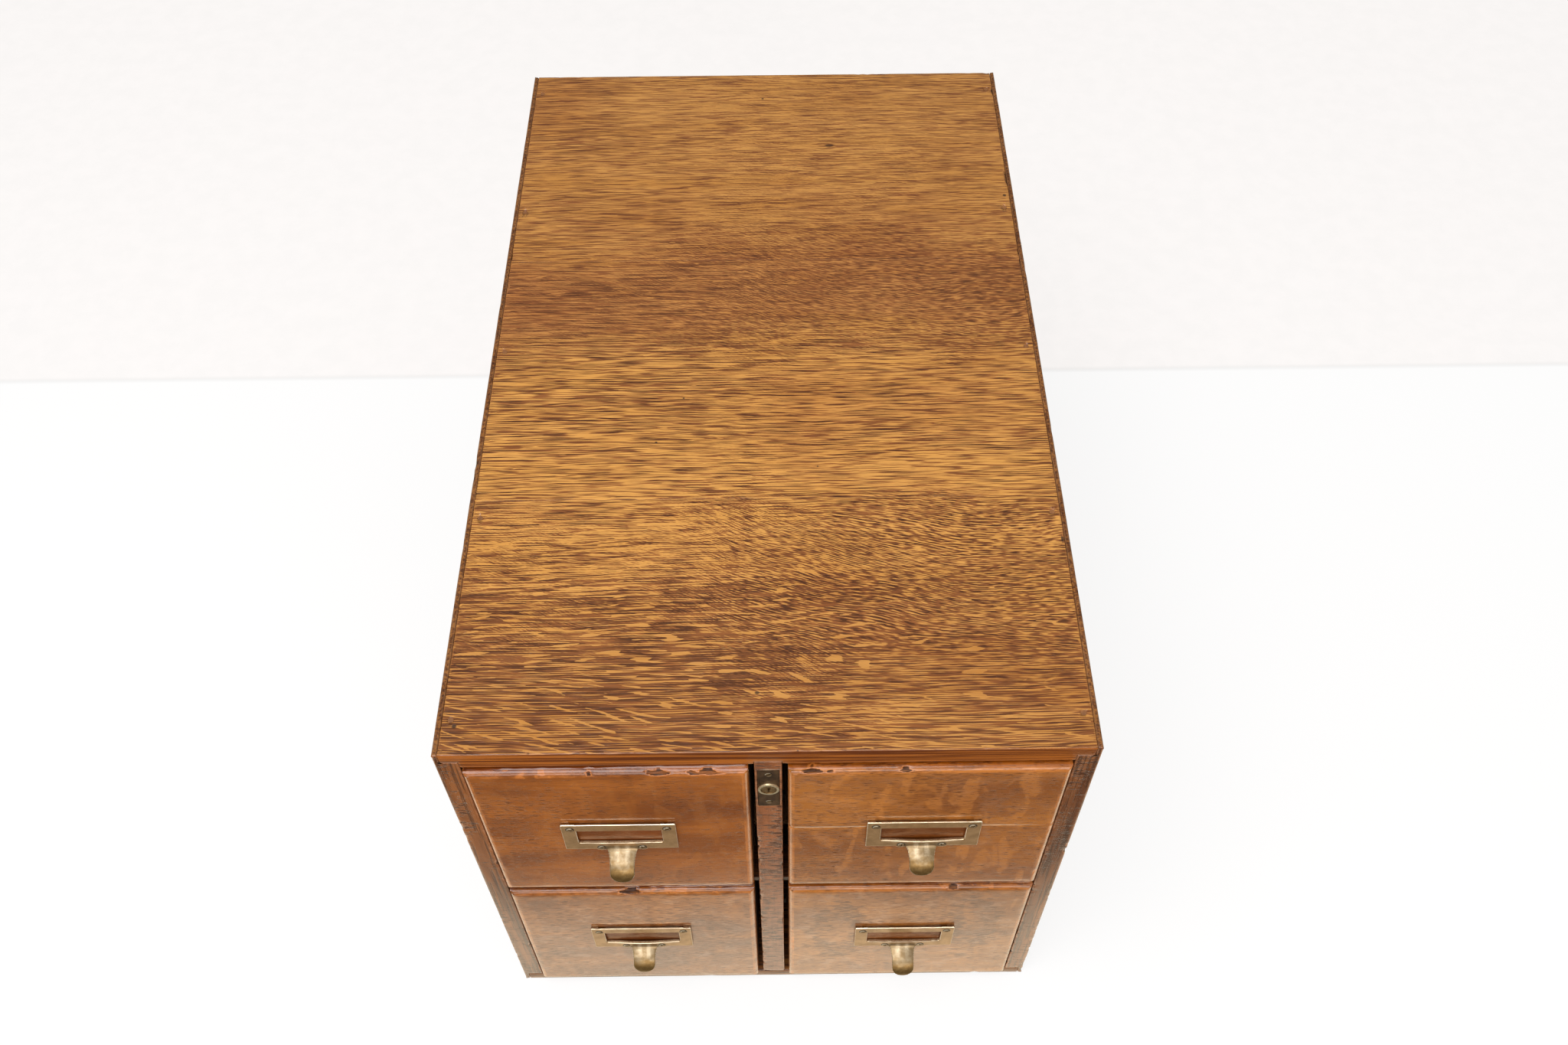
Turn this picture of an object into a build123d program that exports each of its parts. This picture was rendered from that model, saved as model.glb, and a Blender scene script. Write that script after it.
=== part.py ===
from build123d import *
from math import cos, radians, sin, tan
import os

# Tabletop card index cabinet in oak, with four drawers in two rows of two.
# Sizes are in millimetres. The origin is the middle of the underside, +Z is up
# and the drawers open towards -Y. Left and right are as seen from the front.

# Case boards
case_width = 400.0
case_depth = 659.0
case_height = 382.0
side_thick = 14.5
top_thick = 15.5
bottom_thick = 10.0
partition_thick = 17.0
back_thick = 8.0
side_lip = 3.5
top_tongue = 9.5
partition_housing = 2.7
back_rabbet = 6.0
front_board_depth = 191.0
middle_board_depth = 234.0
case_arris = 1.0

# Rails and runners under the upper drawers
rail_thick = 5.5
rail_depth = 24.0
rail_setback = 3.0
housing_depth = 4.0
runner_width = 12.0

# Drawer fronts
front_thick = 19.0
front_proud = 4.5
front_round = 4.0
front_gap_side = 1.2
front_gap_partition = 3.5
front_gap_height = 2.0
row_gap = 8.5
mended_board_height = 94.0

# Drawer boxes
run_gap = 0.3
drawer_side_thick = 8.0
drawer_side_height = 150.0
drawer_back_thick = 8.0
drawer_back_step = 12.0
drawer_bottom_thick = 5.0
drawer_bottom_rise = 7.0
drawer_groove = 4.0
front_lap = 9.0
stop_depth = 10.0
stop_height = 20.0
stop_gap = 0.3

# Followers that hold the cards upright
follower_height = 100.0
follower_foot = 55.0
follower_foot_height = 9.0
follower_top = 11.0
follower_lean = 8.0
follower_side_gap = 2.75
follower_rest_gap = 3.0
track_width = 8.0
track_front_margin = 25.0
track_end_gap = 1.0
shoe_width = 6.0
shoe_length = 30.0
shoe_height = 8.0
shoe_flange_width = 18.0
shoe_flange_length = 46.0
shoe_flange_thick = 1.5

# Label holder pulls
pull_width = 73.6
pull_height = 35.0
pull_plate = 1.2
pull_stand = 1.3
pull_side_bar = 9.3
pull_top_bar = 8.0
pull_bottom_bar = 8.6
pull_ear_radius = 4.2
pull_ear_spacing = 26.8
pull_ear_rise = 2.2
pull_screw_inset = 5.7
tongue_root_width = 24.0
tongue_width = 16.2
tongue_thick = 2.5
tongue_crown = 2.0
tongue_inner_bend = 4.0
tongue_outer_bend = 13.0
tongue_turn = 75.0
tongue_root_height = 4.0
tongue_neck_drop = 3.5
tongue_tip_height = 6.0

# Each pull was fitted and bent by hand: its drop below the top of its front, its shift
# to the right of the middle, and the straight length of its tongue between the two bends
pull_drops = {
    "upper_left": 65.9,
    "upper_right": 67.4,
    "lower_left": 62.6,
    "lower_right": 67.7,
}
pull_shifts = {
    "upper_left": 1.3,
    "upper_right": 1.3,
    "lower_left": 1.1,
    "lower_right": 0.1,
}
tongue_reaches = {
    "upper_left": 5.5,
    "upper_right": 2.9,
    "lower_left": 2.8,
    "lower_right": 5.9,
}

# Screws and nails
screw_fit = 0.1
pull_screw_head = 2.5
pull_screw_dome = 0.8
pull_screw_shank = 1.2
pull_screw_length = 12.0
plate_screw_head = 2.4
plate_screw_shank = 1.2
plate_screw_length = 14.0
plate_screw_margin = 5.5
strap_screw_head = 1.8
strap_screw_shank = 0.9
strap_screw_length = 6.0
strap_screw_margin = 3.0
screw_slot_width = 0.7
screw_slot_depth = 0.5
slot_step = 37.0
nail_head = 1.8
nail_head_thick = 1.0
nail_shank = 0.9
nail_length = 28.0
side_nail_count = 5
side_nail_margin = 24.0
back_nail_length = 22.0
back_nail_columns = 5
back_nail_rows = 4
back_nail_margin = 3.0

# Lock and its bar
lock_drop = 48.0
lock_plate_width = 13.5
lock_plate_height = 48.0
lock_plate_thick = 1.5
lock_case_width = 12.0
lock_case_height = 32.0
lock_case_depth = 22.0
lock_rim_radius = 6.6
lock_rim_proud = 1.0
plug_radius = 4.7
plug_fit = 0.2
plug_recess = 0.3
keyhole_radius = 1.5
keyhole_width = 1.3
keyhole_drop = 4.2
keyhole_rise = 0.8
keyhole_depth = 9.0
cam_radius = 6.0
cam_thick = 2.0
cam_gap = 0.5
tail_size = 4.0
pin_radius = 1.2
bar_travel = 4.0
pin_gap = 0.45
bar_flange_gap = 3.5
bar_flange_thick = 2.0
bar_flange_height = 14.0
bar_thick = 2.5
bar_width = 10.0
bar_gap = 0.3
bar_end_margin = 20.0
strap_thick = 1.2
strap_height = 8.0
strap_overlap = 6.0
strap_below_lock = 45.0
strap_from_dog = 60.0
dog_height = 8.0
dog_depth = 4.0
dog_reach = 2.0
dog_rise = 62.0
dog_gap = 1.0

# Head radius, shank radius and length of each kind of screw
pull_screw = (pull_screw_head, pull_screw_shank, pull_screw_length)
plate_screw = (plate_screw_head, plate_screw_shank, plate_screw_length)
strap_screw = (strap_screw_head, strap_screw_shank, strap_screw_length)

# Places worked out from the sizes above
x_out = case_width / 2
x_in = x_out - side_thick
x_lip = x_out - side_lip
x_part = partition_thick / 2
y_front = -case_depth / 2
y_rear = case_depth / 2
y_back = y_rear - back_thick
z_ceiling = case_height - top_thick
z_shoulder = case_height - top_tongue
y_seams = (y_front + front_board_depth, y_front + front_board_depth + middle_board_depth)

front_width = x_in - x_part - front_gap_side - front_gap_partition
front_height = (z_ceiling - bottom_thick - 2 * front_gap_height - row_gap) / 2
column_x = x_part + front_gap_partition + front_width / 2
row_z = {
    "lower": bottom_thick + front_gap_height,
    "upper": bottom_thick + front_gap_height + front_height + row_gap,
}
y_face = y_front - front_proud
y_box = y_face + front_thick
y_box_rear = y_back - stop_depth - stop_gap
y_drawer_back = y_box_rear - drawer_back_thick

z_rail = row_z["upper"] - front_gap_height - rail_thick
y_rail = y_front + rail_setback
y_runner = y_rail + rail_depth

side_foot = run_gap - front_gap_height
side_top = side_foot + drawer_side_height
z_panel = side_foot + drawer_bottom_rise
half_inside = front_width / 2 - drawer_side_thick

shoe_y = y_drawer_back - follower_rest_gap - follower_foot / 2
track_front = y_box + track_front_margin
track_rear = shoe_y + shoe_length / 2 + track_end_gap

lock_z = case_height - lock_drop
y_plate = y_front + lock_plate_thick
y_case_rear = y_plate + lock_case_depth
y_cam = y_case_rear + cam_gap
y_flange = y_cam + cam_thick + bar_flange_gap
x_bar = x_part - strap_thick - bar_gap - bar_thick
pin_offset = bar_travel / 2
dog_z = [row_z["upper"] + dog_rise, row_z["lower"] + dog_rise]
strap_z = [lock_z - strap_below_lock, dog_z[0] - strap_from_dog, dog_z[1] + strap_from_dog]


def block(x0, x1, y0, y1, z0, z1):
    """Box between two corners."""
    centre = ((x0 + x1) / 2, (y0 + y1) / 2, (z0 + z1) / 2)
    return Pos(*centre) * Box(x1 - x0, y1 - y0, z1 - z0)


def save(name, shape):
    """Write one named piece."""
    export_step(shape, f"parts/{name}.step")


def rod(radius, length):
    """Cylinder from the origin along +Z."""
    return Pos(0, 0, length / 2) * Cylinder(radius, length)


def screw(head, shank, length, dome=0.0, turn=0.0):
    """Slotted screw whose rim lies at the origin and whose point lies down -Z."""
    cone_height = head - shank
    cone = Pos(0, 0, -cone_height / 2) * Cone(shank, head, cone_height)
    body = cone + Pos(0, 0, -length) * rod(shank, length)
    if dome > 0:
        ball_radius = (head**2 + dome**2) / (2 * dome)
        ball = Pos(0, 0, dome - ball_radius) * Sphere(ball_radius)
        body += ball & rod(head, 2 * dome)
    slot = Box(3 * head, screw_slot_width, screw_slot_depth)
    top = dome - screw_slot_depth / 2
    return body - Rot(0, 0, turn) * Pos(0, 0, top) * slot


def screw_hole(head, shank, length):
    """Room for a screw in what it holds."""
    cone_height = head - shank
    cone = Pos(0, 0, -cone_height / 2) * Cone(shank, head, cone_height)
    drill = Pos(0, 0, -length - screw_fit) * rod(shank + screw_fit, length)
    return cone + drill


def nail(length):
    """Nail whose flat head is flush with the origin and whose point lies down -Z."""
    head = Pos(0, 0, -nail_head_thick) * rod(nail_head, nail_head_thick)
    return head + Pos(0, 0, -length) * rod(nail_shank, length - nail_head_thick)


# Case boards

def side_board():
    """Right side, rabbeted for the top, bottom and back, and housed for rail and runner."""
    board = block(x_in, x_out, y_front, y_rear, 0, case_height)
    outer = board.edges().filter_by(Axis.Y).group_by(Axis.X)[-1]
    board = fillet(outer, case_arris)
    board -= block(x_in, x_lip, y_front, y_rear, z_shoulder, case_height)
    board -= block(x_in, x_lip, y_front, y_rear, 0, bottom_thick)
    board -= block(x_in, x_in + back_rabbet, y_back, y_rear, 0, z_ceiling + back_rabbet)
    housing_top = z_rail + rail_thick
    return board - block(x_in, x_in + housing_depth, y_rail, y_back, z_rail, housing_top)


def top_board(y0, y1):
    """One board of the top, from y0 to y1."""
    board = block(-x_lip, x_lip, y0, y1, z_shoulder, case_height)
    board += block(-x_in, x_in, y0, y1, z_ceiling, z_shoulder)
    housing_top = z_ceiling + partition_housing
    board -= block(-x_part, x_part, y0, y1, z_ceiling, housing_top)
    if y0 == y_front:
        rim = board.edges().filter_by(Axis.X).filter_by_position(Axis.Y, y0, y0)
        board = fillet(rim.filter_by_position(Axis.Z, case_height, case_height), case_arris)
    if y1 == y_rear:
        board -= block(-x_in, x_in, y_back, y_rear, z_ceiling, z_ceiling + back_rabbet)
    return board


def bottom_board():
    """Bottom board between the lips of the sides."""
    board = block(-x_lip, x_lip, y_front, y_rear, 0, bottom_thick)
    half = x_in + back_rabbet
    return board - block(-half, half, y_back, y_rear, bottom_thick - back_rabbet, bottom_thick)


def back_panel():
    """Panel let into the rear of the case."""
    half = x_in + back_rabbet
    return block(-half, half, y_back, y_rear, bottom_thick - back_rabbet, z_ceiling + back_rabbet)


def partition():
    """Upright board between the columns, cut for the runners, the lock and its bar."""
    board = block(-x_part, x_part, y_front, y_back, bottom_thick, z_ceiling + partition_housing)
    for side in (-1, 1):
        x_deep = side * (x_part - housing_depth)
        x_face = side * x_part
        lo, hi = sorted((x_deep, x_face))
        board -= block(lo, hi, y_rail, y_back, z_rail, z_rail + rail_thick)
    half_plate = lock_plate_width / 2
    tall_plate = lock_plate_height / 2
    board -= block(-half_plate, half_plate, y_front, y_plate, lock_z - tall_plate, lock_z + tall_plate)
    half_case = lock_case_width / 2
    tall_case = lock_case_height / 2
    board -= block(-half_case, half_case, y_plate, y_case_rear, lock_z - tall_case, lock_z + tall_case)
    board -= bar_room()
    for place in plate_screw_places():
        board -= place * screw_hole(*plate_screw)
    for place in strap_screw_places():
        board -= place * screw_hole(*strap_screw)
    for place in partition_nail_places():
        board -= place * nail(nail_length)
    for place in back_nail_places():
        board -= place * nail(back_nail_length)
    return board


def bar_room():
    """Groove, cam pocket, dog slots and strap seats in the partition."""
    room = block(x_bar - bar_gap, x_part, y_flange - bar_gap, y_flange + bar_width + bar_gap,
                 bar_bottom() - bar_travel - bar_gap, lock_z)
    pocket_half = cam_radius + cam_gap
    pocket_tall = bar_flange_height / 2 + bar_travel + cam_gap
    room += block(-pocket_half, x_part, y_case_rear, y_flange + bar_width + bar_gap,
                  lock_z - pocket_tall, lock_z + pocket_tall)
    dog_y = y_flange + bar_width / 2
    for z in dog_z:
        room += block(-x_part, x_bar, dog_y - dog_depth / 2 - dog_gap, dog_y + dog_depth / 2 + dog_gap,
                      z - dog_height / 2 - bar_travel - dog_gap, z + dog_height / 2 + dog_gap)
    for z in strap_z:
        room += strap(z)
    return room


def bar_bottom():
    """Height of the lower end of the bar."""
    return dog_z[1] - bar_end_margin


def front_rail():
    """Rail under the front of the right upper drawer."""
    x0 = x_part - housing_depth
    x1 = x_in + housing_depth
    return block(x0, x1, y_rail, y_runner, z_rail, z_rail + rail_thick)


def outer_runner():
    """Runner in the housing of the right side."""
    return block(x_in - runner_width, x_in + housing_depth, y_runner, y_back, z_rail, z_rail + rail_thick)


def inner_runner():
    """Runner in the housing of the partition, behind the bar of the lock."""
    y0 = y_flange + bar_width + strap_overlap + screw_fit
    return block(x_part - housing_depth, x_part + runner_width, y0, y_back, z_rail, z_rail + rail_thick)


def drawer_stops():
    """Blocks on the back panel that the drawers close against."""
    stops = []
    for support in (bottom_thick, z_rail + rail_thick):
        stop = block(x_in - runner_width, x_in, y_back - stop_depth, y_back, support, support + stop_height)
        stops += [stop, mirror(stop, Plane.YZ)]
    return stops


def both_sides(shape):
    """A piece and its mirror image across the middle of the cabinet."""
    return [mirror(shape, Plane.YZ), shape]


# Nails

def side_nail_places():
    """Nails through the ends of the top and bottom boards into the right side."""
    x = (x_in + x_lip) / 2
    step = (case_depth - 2 * side_nail_margin) / (side_nail_count - 1)
    places = []
    for k in range(side_nail_count):
        y = y_front + side_nail_margin + k * step
        places.append(Pos(x, y, case_height))
        places.append(Pos(x, y, 0) * Rot(180, 0, 0))
    return places


def partition_nail_places():
    """Nails up through the bottom board into the partition."""
    step = (case_depth - 2 * side_nail_margin) / (side_nail_count - 1)
    ys = [y_front + side_nail_margin + k * step for k in range(side_nail_count)]
    return [Pos(0, y, 0) * Rot(180, 0, 0) for y in ys]


def back_nail_places():
    """Nails round the rim of the back panel and up its middle."""
    x_edge = x_in + back_rabbet - back_nail_margin
    z_low = bottom_thick - back_rabbet + back_nail_margin
    z_high = z_ceiling + back_rabbet - back_nail_margin
    step_x = 2 * x_edge / (back_nail_columns - 1)
    step_z = (z_high - z_low) / (back_nail_rows - 1)
    spots = []
    for k in range(1, back_nail_columns - 1):
        spots += [(-x_edge + k * step_x, z_low), (-x_edge + k * step_x, z_high)]
    for k in range(back_nail_rows):
        spots += [(-x_edge, z_low + k * step_z), (x_edge, z_low + k * step_z)]
    return [Pos(x, y_rear, z) * Rot(-90, 0, 0) for x, z in spots]


# Lock

def plate_screw_places():
    """Screws through the lock plate, pointing into the partition."""
    z = lock_plate_height / 2 - plate_screw_margin
    return [Pos(0, y_front, lock_z + side * z) * Rot(90, 0, 0) for side in (-1, 1)]


def lock_plate():
    """Face plate let into the front edge of the partition."""
    half = lock_plate_width / 2
    tall = lock_plate_height / 2
    plate = block(-half, half, y_front, y_plate, lock_z - tall, lock_z + tall)
    plate -= facing(rod(lock_rim_radius, 4 * lock_plate_thick), y_plate + lock_plate_thick)
    for place in plate_screw_places():
        plate -= place * screw_hole(*plate_screw)
    return plate


def facing(shape, y):
    """Turn a piece from +Z to face the front, with its foot at y on the axis of the lock."""
    return Pos(0, y, lock_z) * Rot(90, 0, 0) * shape


def lock_case():
    """Body of the lock with the collar that the plug turns in."""
    half = lock_case_width / 2
    tall = lock_case_height / 2
    body = block(-half, half, y_plate, y_case_rear, lock_z - tall, lock_z + tall)
    body += facing(rod(lock_rim_radius, lock_plate_thick + lock_rim_proud), y_plate)
    bore_length = lock_case_depth + lock_plate_thick + lock_rim_proud
    return body - facing(rod(plug_radius + plug_fit, bore_length), y_case_rear)


def lock_plug():
    """Turning plug with its keyhole and the square tail that carries the cam."""
    length = y_cam - y_front + lock_rim_proud - plug_recess
    plug = facing(rod(plug_radius, length), y_cam)
    face_y = y_cam - length
    keyhole = rod(keyhole_radius, keyhole_depth)
    drop = keyhole_drop + keyhole_rise
    slit = Pos(0, -drop / 2, keyhole_depth / 2) * Box(keyhole_width, drop, keyhole_depth)
    plug -= facing(Pos(0, keyhole_rise, 0) * (keyhole + slit), face_y + keyhole_depth)
    tail = Pos(0, 0, cam_thick / 2) * Box(tail_size, tail_size, cam_thick)
    return plug + facing(tail, y_cam + cam_thick)


def lock_cam():
    """Disc on the tail of the plug with the pin that moves the bar."""
    disc = facing(rod(cam_radius, cam_thick), y_cam + cam_thick)
    disc -= facing(Pos(0, 0, cam_thick / 2) * Box(tail_size, tail_size, cam_thick), y_cam + cam_thick)
    pin_length = bar_flange_gap + bar_flange_thick
    pin = Pos(-pin_offset, pin_offset, 0) * rod(pin_radius, pin_length)
    pin = facing(pin, y_cam + cam_thick + pin_length)
    return disc + pin


def lock_bar():
    """Upright bar with a slotted flange for the cam pin and a dog for each drawer."""
    bar = block(x_bar, x_bar + bar_thick, y_flange, y_flange + bar_width,
                bar_bottom(), lock_z + bar_flange_height / 2)
    flange_rear = y_flange + bar_flange_thick
    z0 = lock_z - bar_flange_height / 2
    z1 = lock_z + bar_flange_height / 2
    bar += block(-cam_radius, x_bar, y_flange, flange_rear, z0, z1)
    reach = pin_offset * 2**0.5 + pin_radius + pin_gap
    slot_half = pin_radius + pin_gap
    slot_z = lock_z + pin_offset
    bar -= block(-reach, -pin_offset + slot_half, y_flange, flange_rear,
                 slot_z - slot_half, slot_z + slot_half)
    dog_y = y_flange + bar_width / 2
    for z in dog_z:
        bar += block(-x_part - dog_reach, x_part + dog_reach, dog_y - dog_depth / 2, dog_y + dog_depth / 2,
                     z - dog_height / 2, z + dog_height / 2)
    return bar


def strap(z):
    """Strap let in flush across the bar."""
    return block(x_part - strap_thick, x_part, y_flange - strap_overlap, y_flange + bar_width + strap_overlap,
                 z - strap_height / 2, z + strap_height / 2)


def strap_screw_places():
    """Screws at both ends of each strap."""
    ends = (y_flange - strap_screw_margin, y_flange + bar_width + strap_screw_margin)
    return [Pos(x_part, y, z) * Rot(0, 90, 0) for z in strap_z for y in ends]


def bar_straps():
    """Straps with their countersunk holes."""
    straps = []
    for z in strap_z:
        piece = strap(z)
        for place in strap_screw_places():
            piece -= place * screw_hole(*strap_screw)
        straps.append(piece)
    return straps


# Drawer, built with its front centred on x = 0 and its lower edge at z = 0

def drawer_front(pull_drop, pull_shift):
    """Front with rounded edges, rabbeted for the sides and grooved for the bottom."""
    half = front_width / 2
    front = block(-half, half, y_face, y_box, 0, front_height)
    front = fillet(front.faces().sort_by(Axis.Y)[0].edges(), front_round)
    lap_y = y_face + front_lap
    for x0, x1 in ((-half, -half_inside), (half_inside, half)):
        front -= block(x0, x1, lap_y, y_box, side_foot, side_top)
    groove_half = half_inside + drawer_groove
    front -= block(-groove_half, groove_half, y_box - drawer_groove, y_box,
                   z_panel, z_panel + drawer_bottom_thick)
    for place in pull_screw_places(pull_drop):
        front -= Pos(pull_shift, 0, 0) * place * screw_hole(*pull_screw)
    return front


def drawer_side():
    """Side on the right of the drawer, grooved for the bottom and housed for the back."""
    lap_y = y_face + front_lap
    side = block(half_inside, front_width / 2, lap_y, y_box_rear, side_foot, side_top)
    depth = half_inside + drawer_groove
    side -= block(half_inside, depth, y_box - drawer_groove, y_box_rear,
                  z_panel, z_panel + drawer_bottom_thick)
    back_top = side_top - drawer_back_step
    return side - block(half_inside, depth, y_drawer_back, y_box_rear, z_panel, back_top)


def drawer_back():
    """Back that stands on the bottom between the sides."""
    half = half_inside + drawer_groove
    z0 = z_panel + drawer_bottom_thick
    return block(-half, half, y_drawer_back, y_box_rear, z0, side_top - drawer_back_step)


def drawer_bottom():
    """Bottom with the slot that the follower's shoe runs in."""
    half = half_inside + drawer_groove
    z1 = z_panel + drawer_bottom_thick
    board = block(-half, half, y_box - drawer_groove, y_box_rear, z_panel, z1)
    return board - block(-track_width / 2, track_width / 2, track_front, track_rear, z_panel, z1)


def follower_block():
    """Leaning wooden block that holds the cards up."""
    y1 = shoe_y + follower_foot / 2
    y0 = y1 - follower_foot
    z0 = z_panel + drawer_bottom_thick + run_gap
    lean = follower_height * tan(radians(follower_lean))
    points = [
        (y0, z0),
        (y1, z0),
        (y1, z0 + follower_foot_height),
        (y0 + lean + follower_top, z0 + follower_height),
        (y0 + lean, z0 + follower_height),
    ]
    outline = Plane.YZ * make_face(Polyline(*points, close=True).edges())
    body = extrude(outline, half_inside - follower_side_gap, both=True)
    return body - shoe_stem()


def shoe_stem():
    """Upright of the shoe, from under the drawer bottom into the block."""
    z0 = z_panel - run_gap
    z1 = z_panel + drawer_bottom_thick + run_gap + shoe_height
    return block(-shoe_width / 2, shoe_width / 2, shoe_y - shoe_length / 2, shoe_y + shoe_length / 2, z0, z1)


def follower_shoe():
    """Steel shoe that keeps the follower in its slot."""
    z1 = z_panel - run_gap
    half_x = shoe_flange_width / 2
    half_y = shoe_flange_length / 2
    flange = block(-half_x, half_x, shoe_y - half_y, shoe_y + half_y, z1 - shoe_flange_thick, z1)
    return shoe_stem() + flange


# Label holder pull, placed by the height of its lower edge above the drawer front's

def pull_foot(pull_drop):
    """Height of the pull's lower edge above the lower edge of the front."""
    return front_height - pull_drop - pull_height


def pull_screw_places(pull_drop):
    """Two screws at the upper corners and two in the ears, each turned its own way."""
    y = y_face - pull_stand - pull_plate
    z0 = pull_foot(pull_drop)
    x_top = pull_width / 2 - pull_screw_inset
    z_top = z0 + pull_height - pull_screw_inset
    x_ear = pull_ear_spacing / 2
    z_ear = z0 + pull_ear_rise
    spots = [(-x_top, z_top), (x_top, z_top), (-x_ear, z_ear), (x_ear, z_ear)]
    return [Pos(x, y, z) * Rot(90, 0, 0) for x, z in spots]


def upright(outline, y0, y1):
    """Plate from y0 to y1 with an outline drawn in X and Z."""
    face = Plane(origin=(0, y1, 0), x_dir=(1, 0, 0), z_dir=(0, -1, 0)) * outline
    return extrude(face, y1 - y0)


def rectangle(x0, x1, z0, z1):
    """Flat rectangle between two corners."""
    return Pos((x0 + x1) / 2, (z0 + z1) / 2) * Rectangle(x1 - x0, z1 - z0)


def tongue_outline(reach):
    """Outline of the tongue from the front: a flared root, a neck and a round tip."""
    half_root = tongue_root_width / 2
    half = tongue_width / 2
    tip = -tongue_fall(reach)
    neck = Line((half_root, 0), (half_root, tongue_root_height))
    flare = RadiusArc((half_root, 0), (half, -tongue_neck_drop), -(tongue_neck_drop + half_root - half) / 2)
    flank = Line((half, -tongue_neck_drop), (half, tip + tongue_tip_height))
    tip_arc = ThreePointArc((half, tip + tongue_tip_height), (0, tip), (-half, tip + tongue_tip_height))
    right = [neck, flare, flank]
    left = [mirror(line, Plane.YZ) for line in right]
    roof = Line((-half_root, tongue_root_height), (half_root, tongue_root_height))
    return make_face(Curve() + right + left + [tip_arc, roof])


def tongue_fall(reach):
    """How far the path of the tongue drops below the pull's lower edge."""
    turn = radians(tongue_turn)
    concave = tongue_inner_bend * sin(turn)
    straight = reach * cos(turn)
    convex = tongue_outer_bend * sin(turn)
    return concave + straight + convex - tongue_root_height


def tongue_path(reach):
    """Line along the outer face of the tongue, drawn in Y and Z."""
    start = (y_face - pull_stand - pull_plate, tongue_root_height)
    root = JernArc(start, (0, -1), tongue_inner_bend, -tongue_turn)
    straight = Line(root @ 1, root @ 1 + (root % 1) * reach)
    hood = JernArc(straight @ 1, straight % 1, tongue_outer_bend, tongue_turn)
    return Plane.YZ * (Curve() + [root, straight, hood])


def tongue(reach):
    """Thumb piece: a crowned strip bent forward and down, trimmed to its outline."""
    half = tongue_root_width / 2
    y0 = y_face - pull_stand - pull_plate
    low = tongue_crown + tongue_thick
    crown = ThreePointArc((-half, tongue_crown), (0, 0), (half, tongue_crown))
    hollow = ThreePointArc((-half, low), (0, tongue_thick), (half, low))
    ends = [Line(crown @ 0, hollow @ 0), Line(crown @ 1, hollow @ 1)]
    section = Pos(0, y0, tongue_root_height) * make_face(Curve() + [crown, hollow] + ends)
    strip = sweep(section, path=tongue_path(reach))
    trim = upright(tongue_outline(reach), y0 - case_depth / 10, y_face)
    return strip & trim


def label_pull(pull_drop, reach):
    """One casting: a framed plate, a rim that stands it off the wood, and a tongue."""
    y_mid = y_face - pull_stand
    y0 = y_mid - pull_plate
    half = pull_width / 2
    half_window = half - pull_side_bar
    window = rectangle(-half_window, half_window, pull_bottom_bar, pull_height - pull_top_bar)
    outline = rectangle(-half, half, 0, pull_height)
    for side in (-1, 1):
        outline += Pos(side * pull_ear_spacing / 2, pull_ear_rise) * Circle(pull_ear_radius)
    rim = outline - rectangle(-half_window, half_window, pull_bottom_bar, pull_height)
    body = upright(outline - window, y0, y_mid) + upright(rim, y_mid, y_face)
    body = body + tongue(reach)
    body = Pos(0, 0, pull_foot(pull_drop)) * body
    for place in pull_screw_places(pull_drop):
        body -= place * screw_hole(*pull_screw)
    return body


def turned_screws(places, head, shank, length, dome=0.0):
    """Screws at their places as one group, with the slots standing at different angles."""
    screws = [place * screw(head, shank, length, dome, slot_step * k) for k, place in enumerate(places)]
    return Compound(screws)


# Writing the pieces

def save_case():
    """Case boards, rails, runners and stops."""
    nails = []
    for place in side_nail_places():
        nails += both_sides(place * nail(nail_length))
    nails += [place * nail(nail_length) for place in partition_nail_places()]
    back_nails = [place * nail(back_nail_length) for place in back_nail_places()]

    def drilled(board, cutters):
        for cutter in cutters:
            board = board - cutter
        return board

    for name, board in zip(("side_left", "side_right"), both_sides(side_board())):
        save(name, drilled(board, nails + back_nails))
    limits = (y_front, *y_seams, y_rear)
    for k, name in enumerate(("top_board_front", "top_board_middle", "top_board_rear")):
        save(name, drilled(top_board(limits[k], limits[k + 1]), nails + back_nails))
    save("bottom_board", drilled(bottom_board(), nails + back_nails))
    save("back_panel", drilled(back_panel(), back_nails))
    save("center_partition", partition())
    for name, rail in zip(("front_rail_left", "front_rail_right"), both_sides(front_rail())):
        save(name, rail)
    save("outer_runners", Compound(both_sides(outer_runner())))
    save("inner_runners", Compound(both_sides(inner_runner())))
    save("drawer_stops", Compound(drawer_stops()))
    save("case_nails", Compound(nails))
    save("back_nails", Compound(back_nails))


def save_lock():
    """Lock on the front edge of the partition, with its bar and straps."""
    save("lock_plate", lock_plate())
    save("lock_case", lock_case())
    save("lock_plug", lock_plug())
    save("lock_cam", lock_cam())
    save("lock_bar", lock_bar())
    save("bar_straps", Compound(bar_straps()))
    save("lock_screws", turned_screws(plate_screw_places(), *plate_screw))
    save("strap_screws", turned_screws(strap_screw_places(), *strap_screw))


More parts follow.
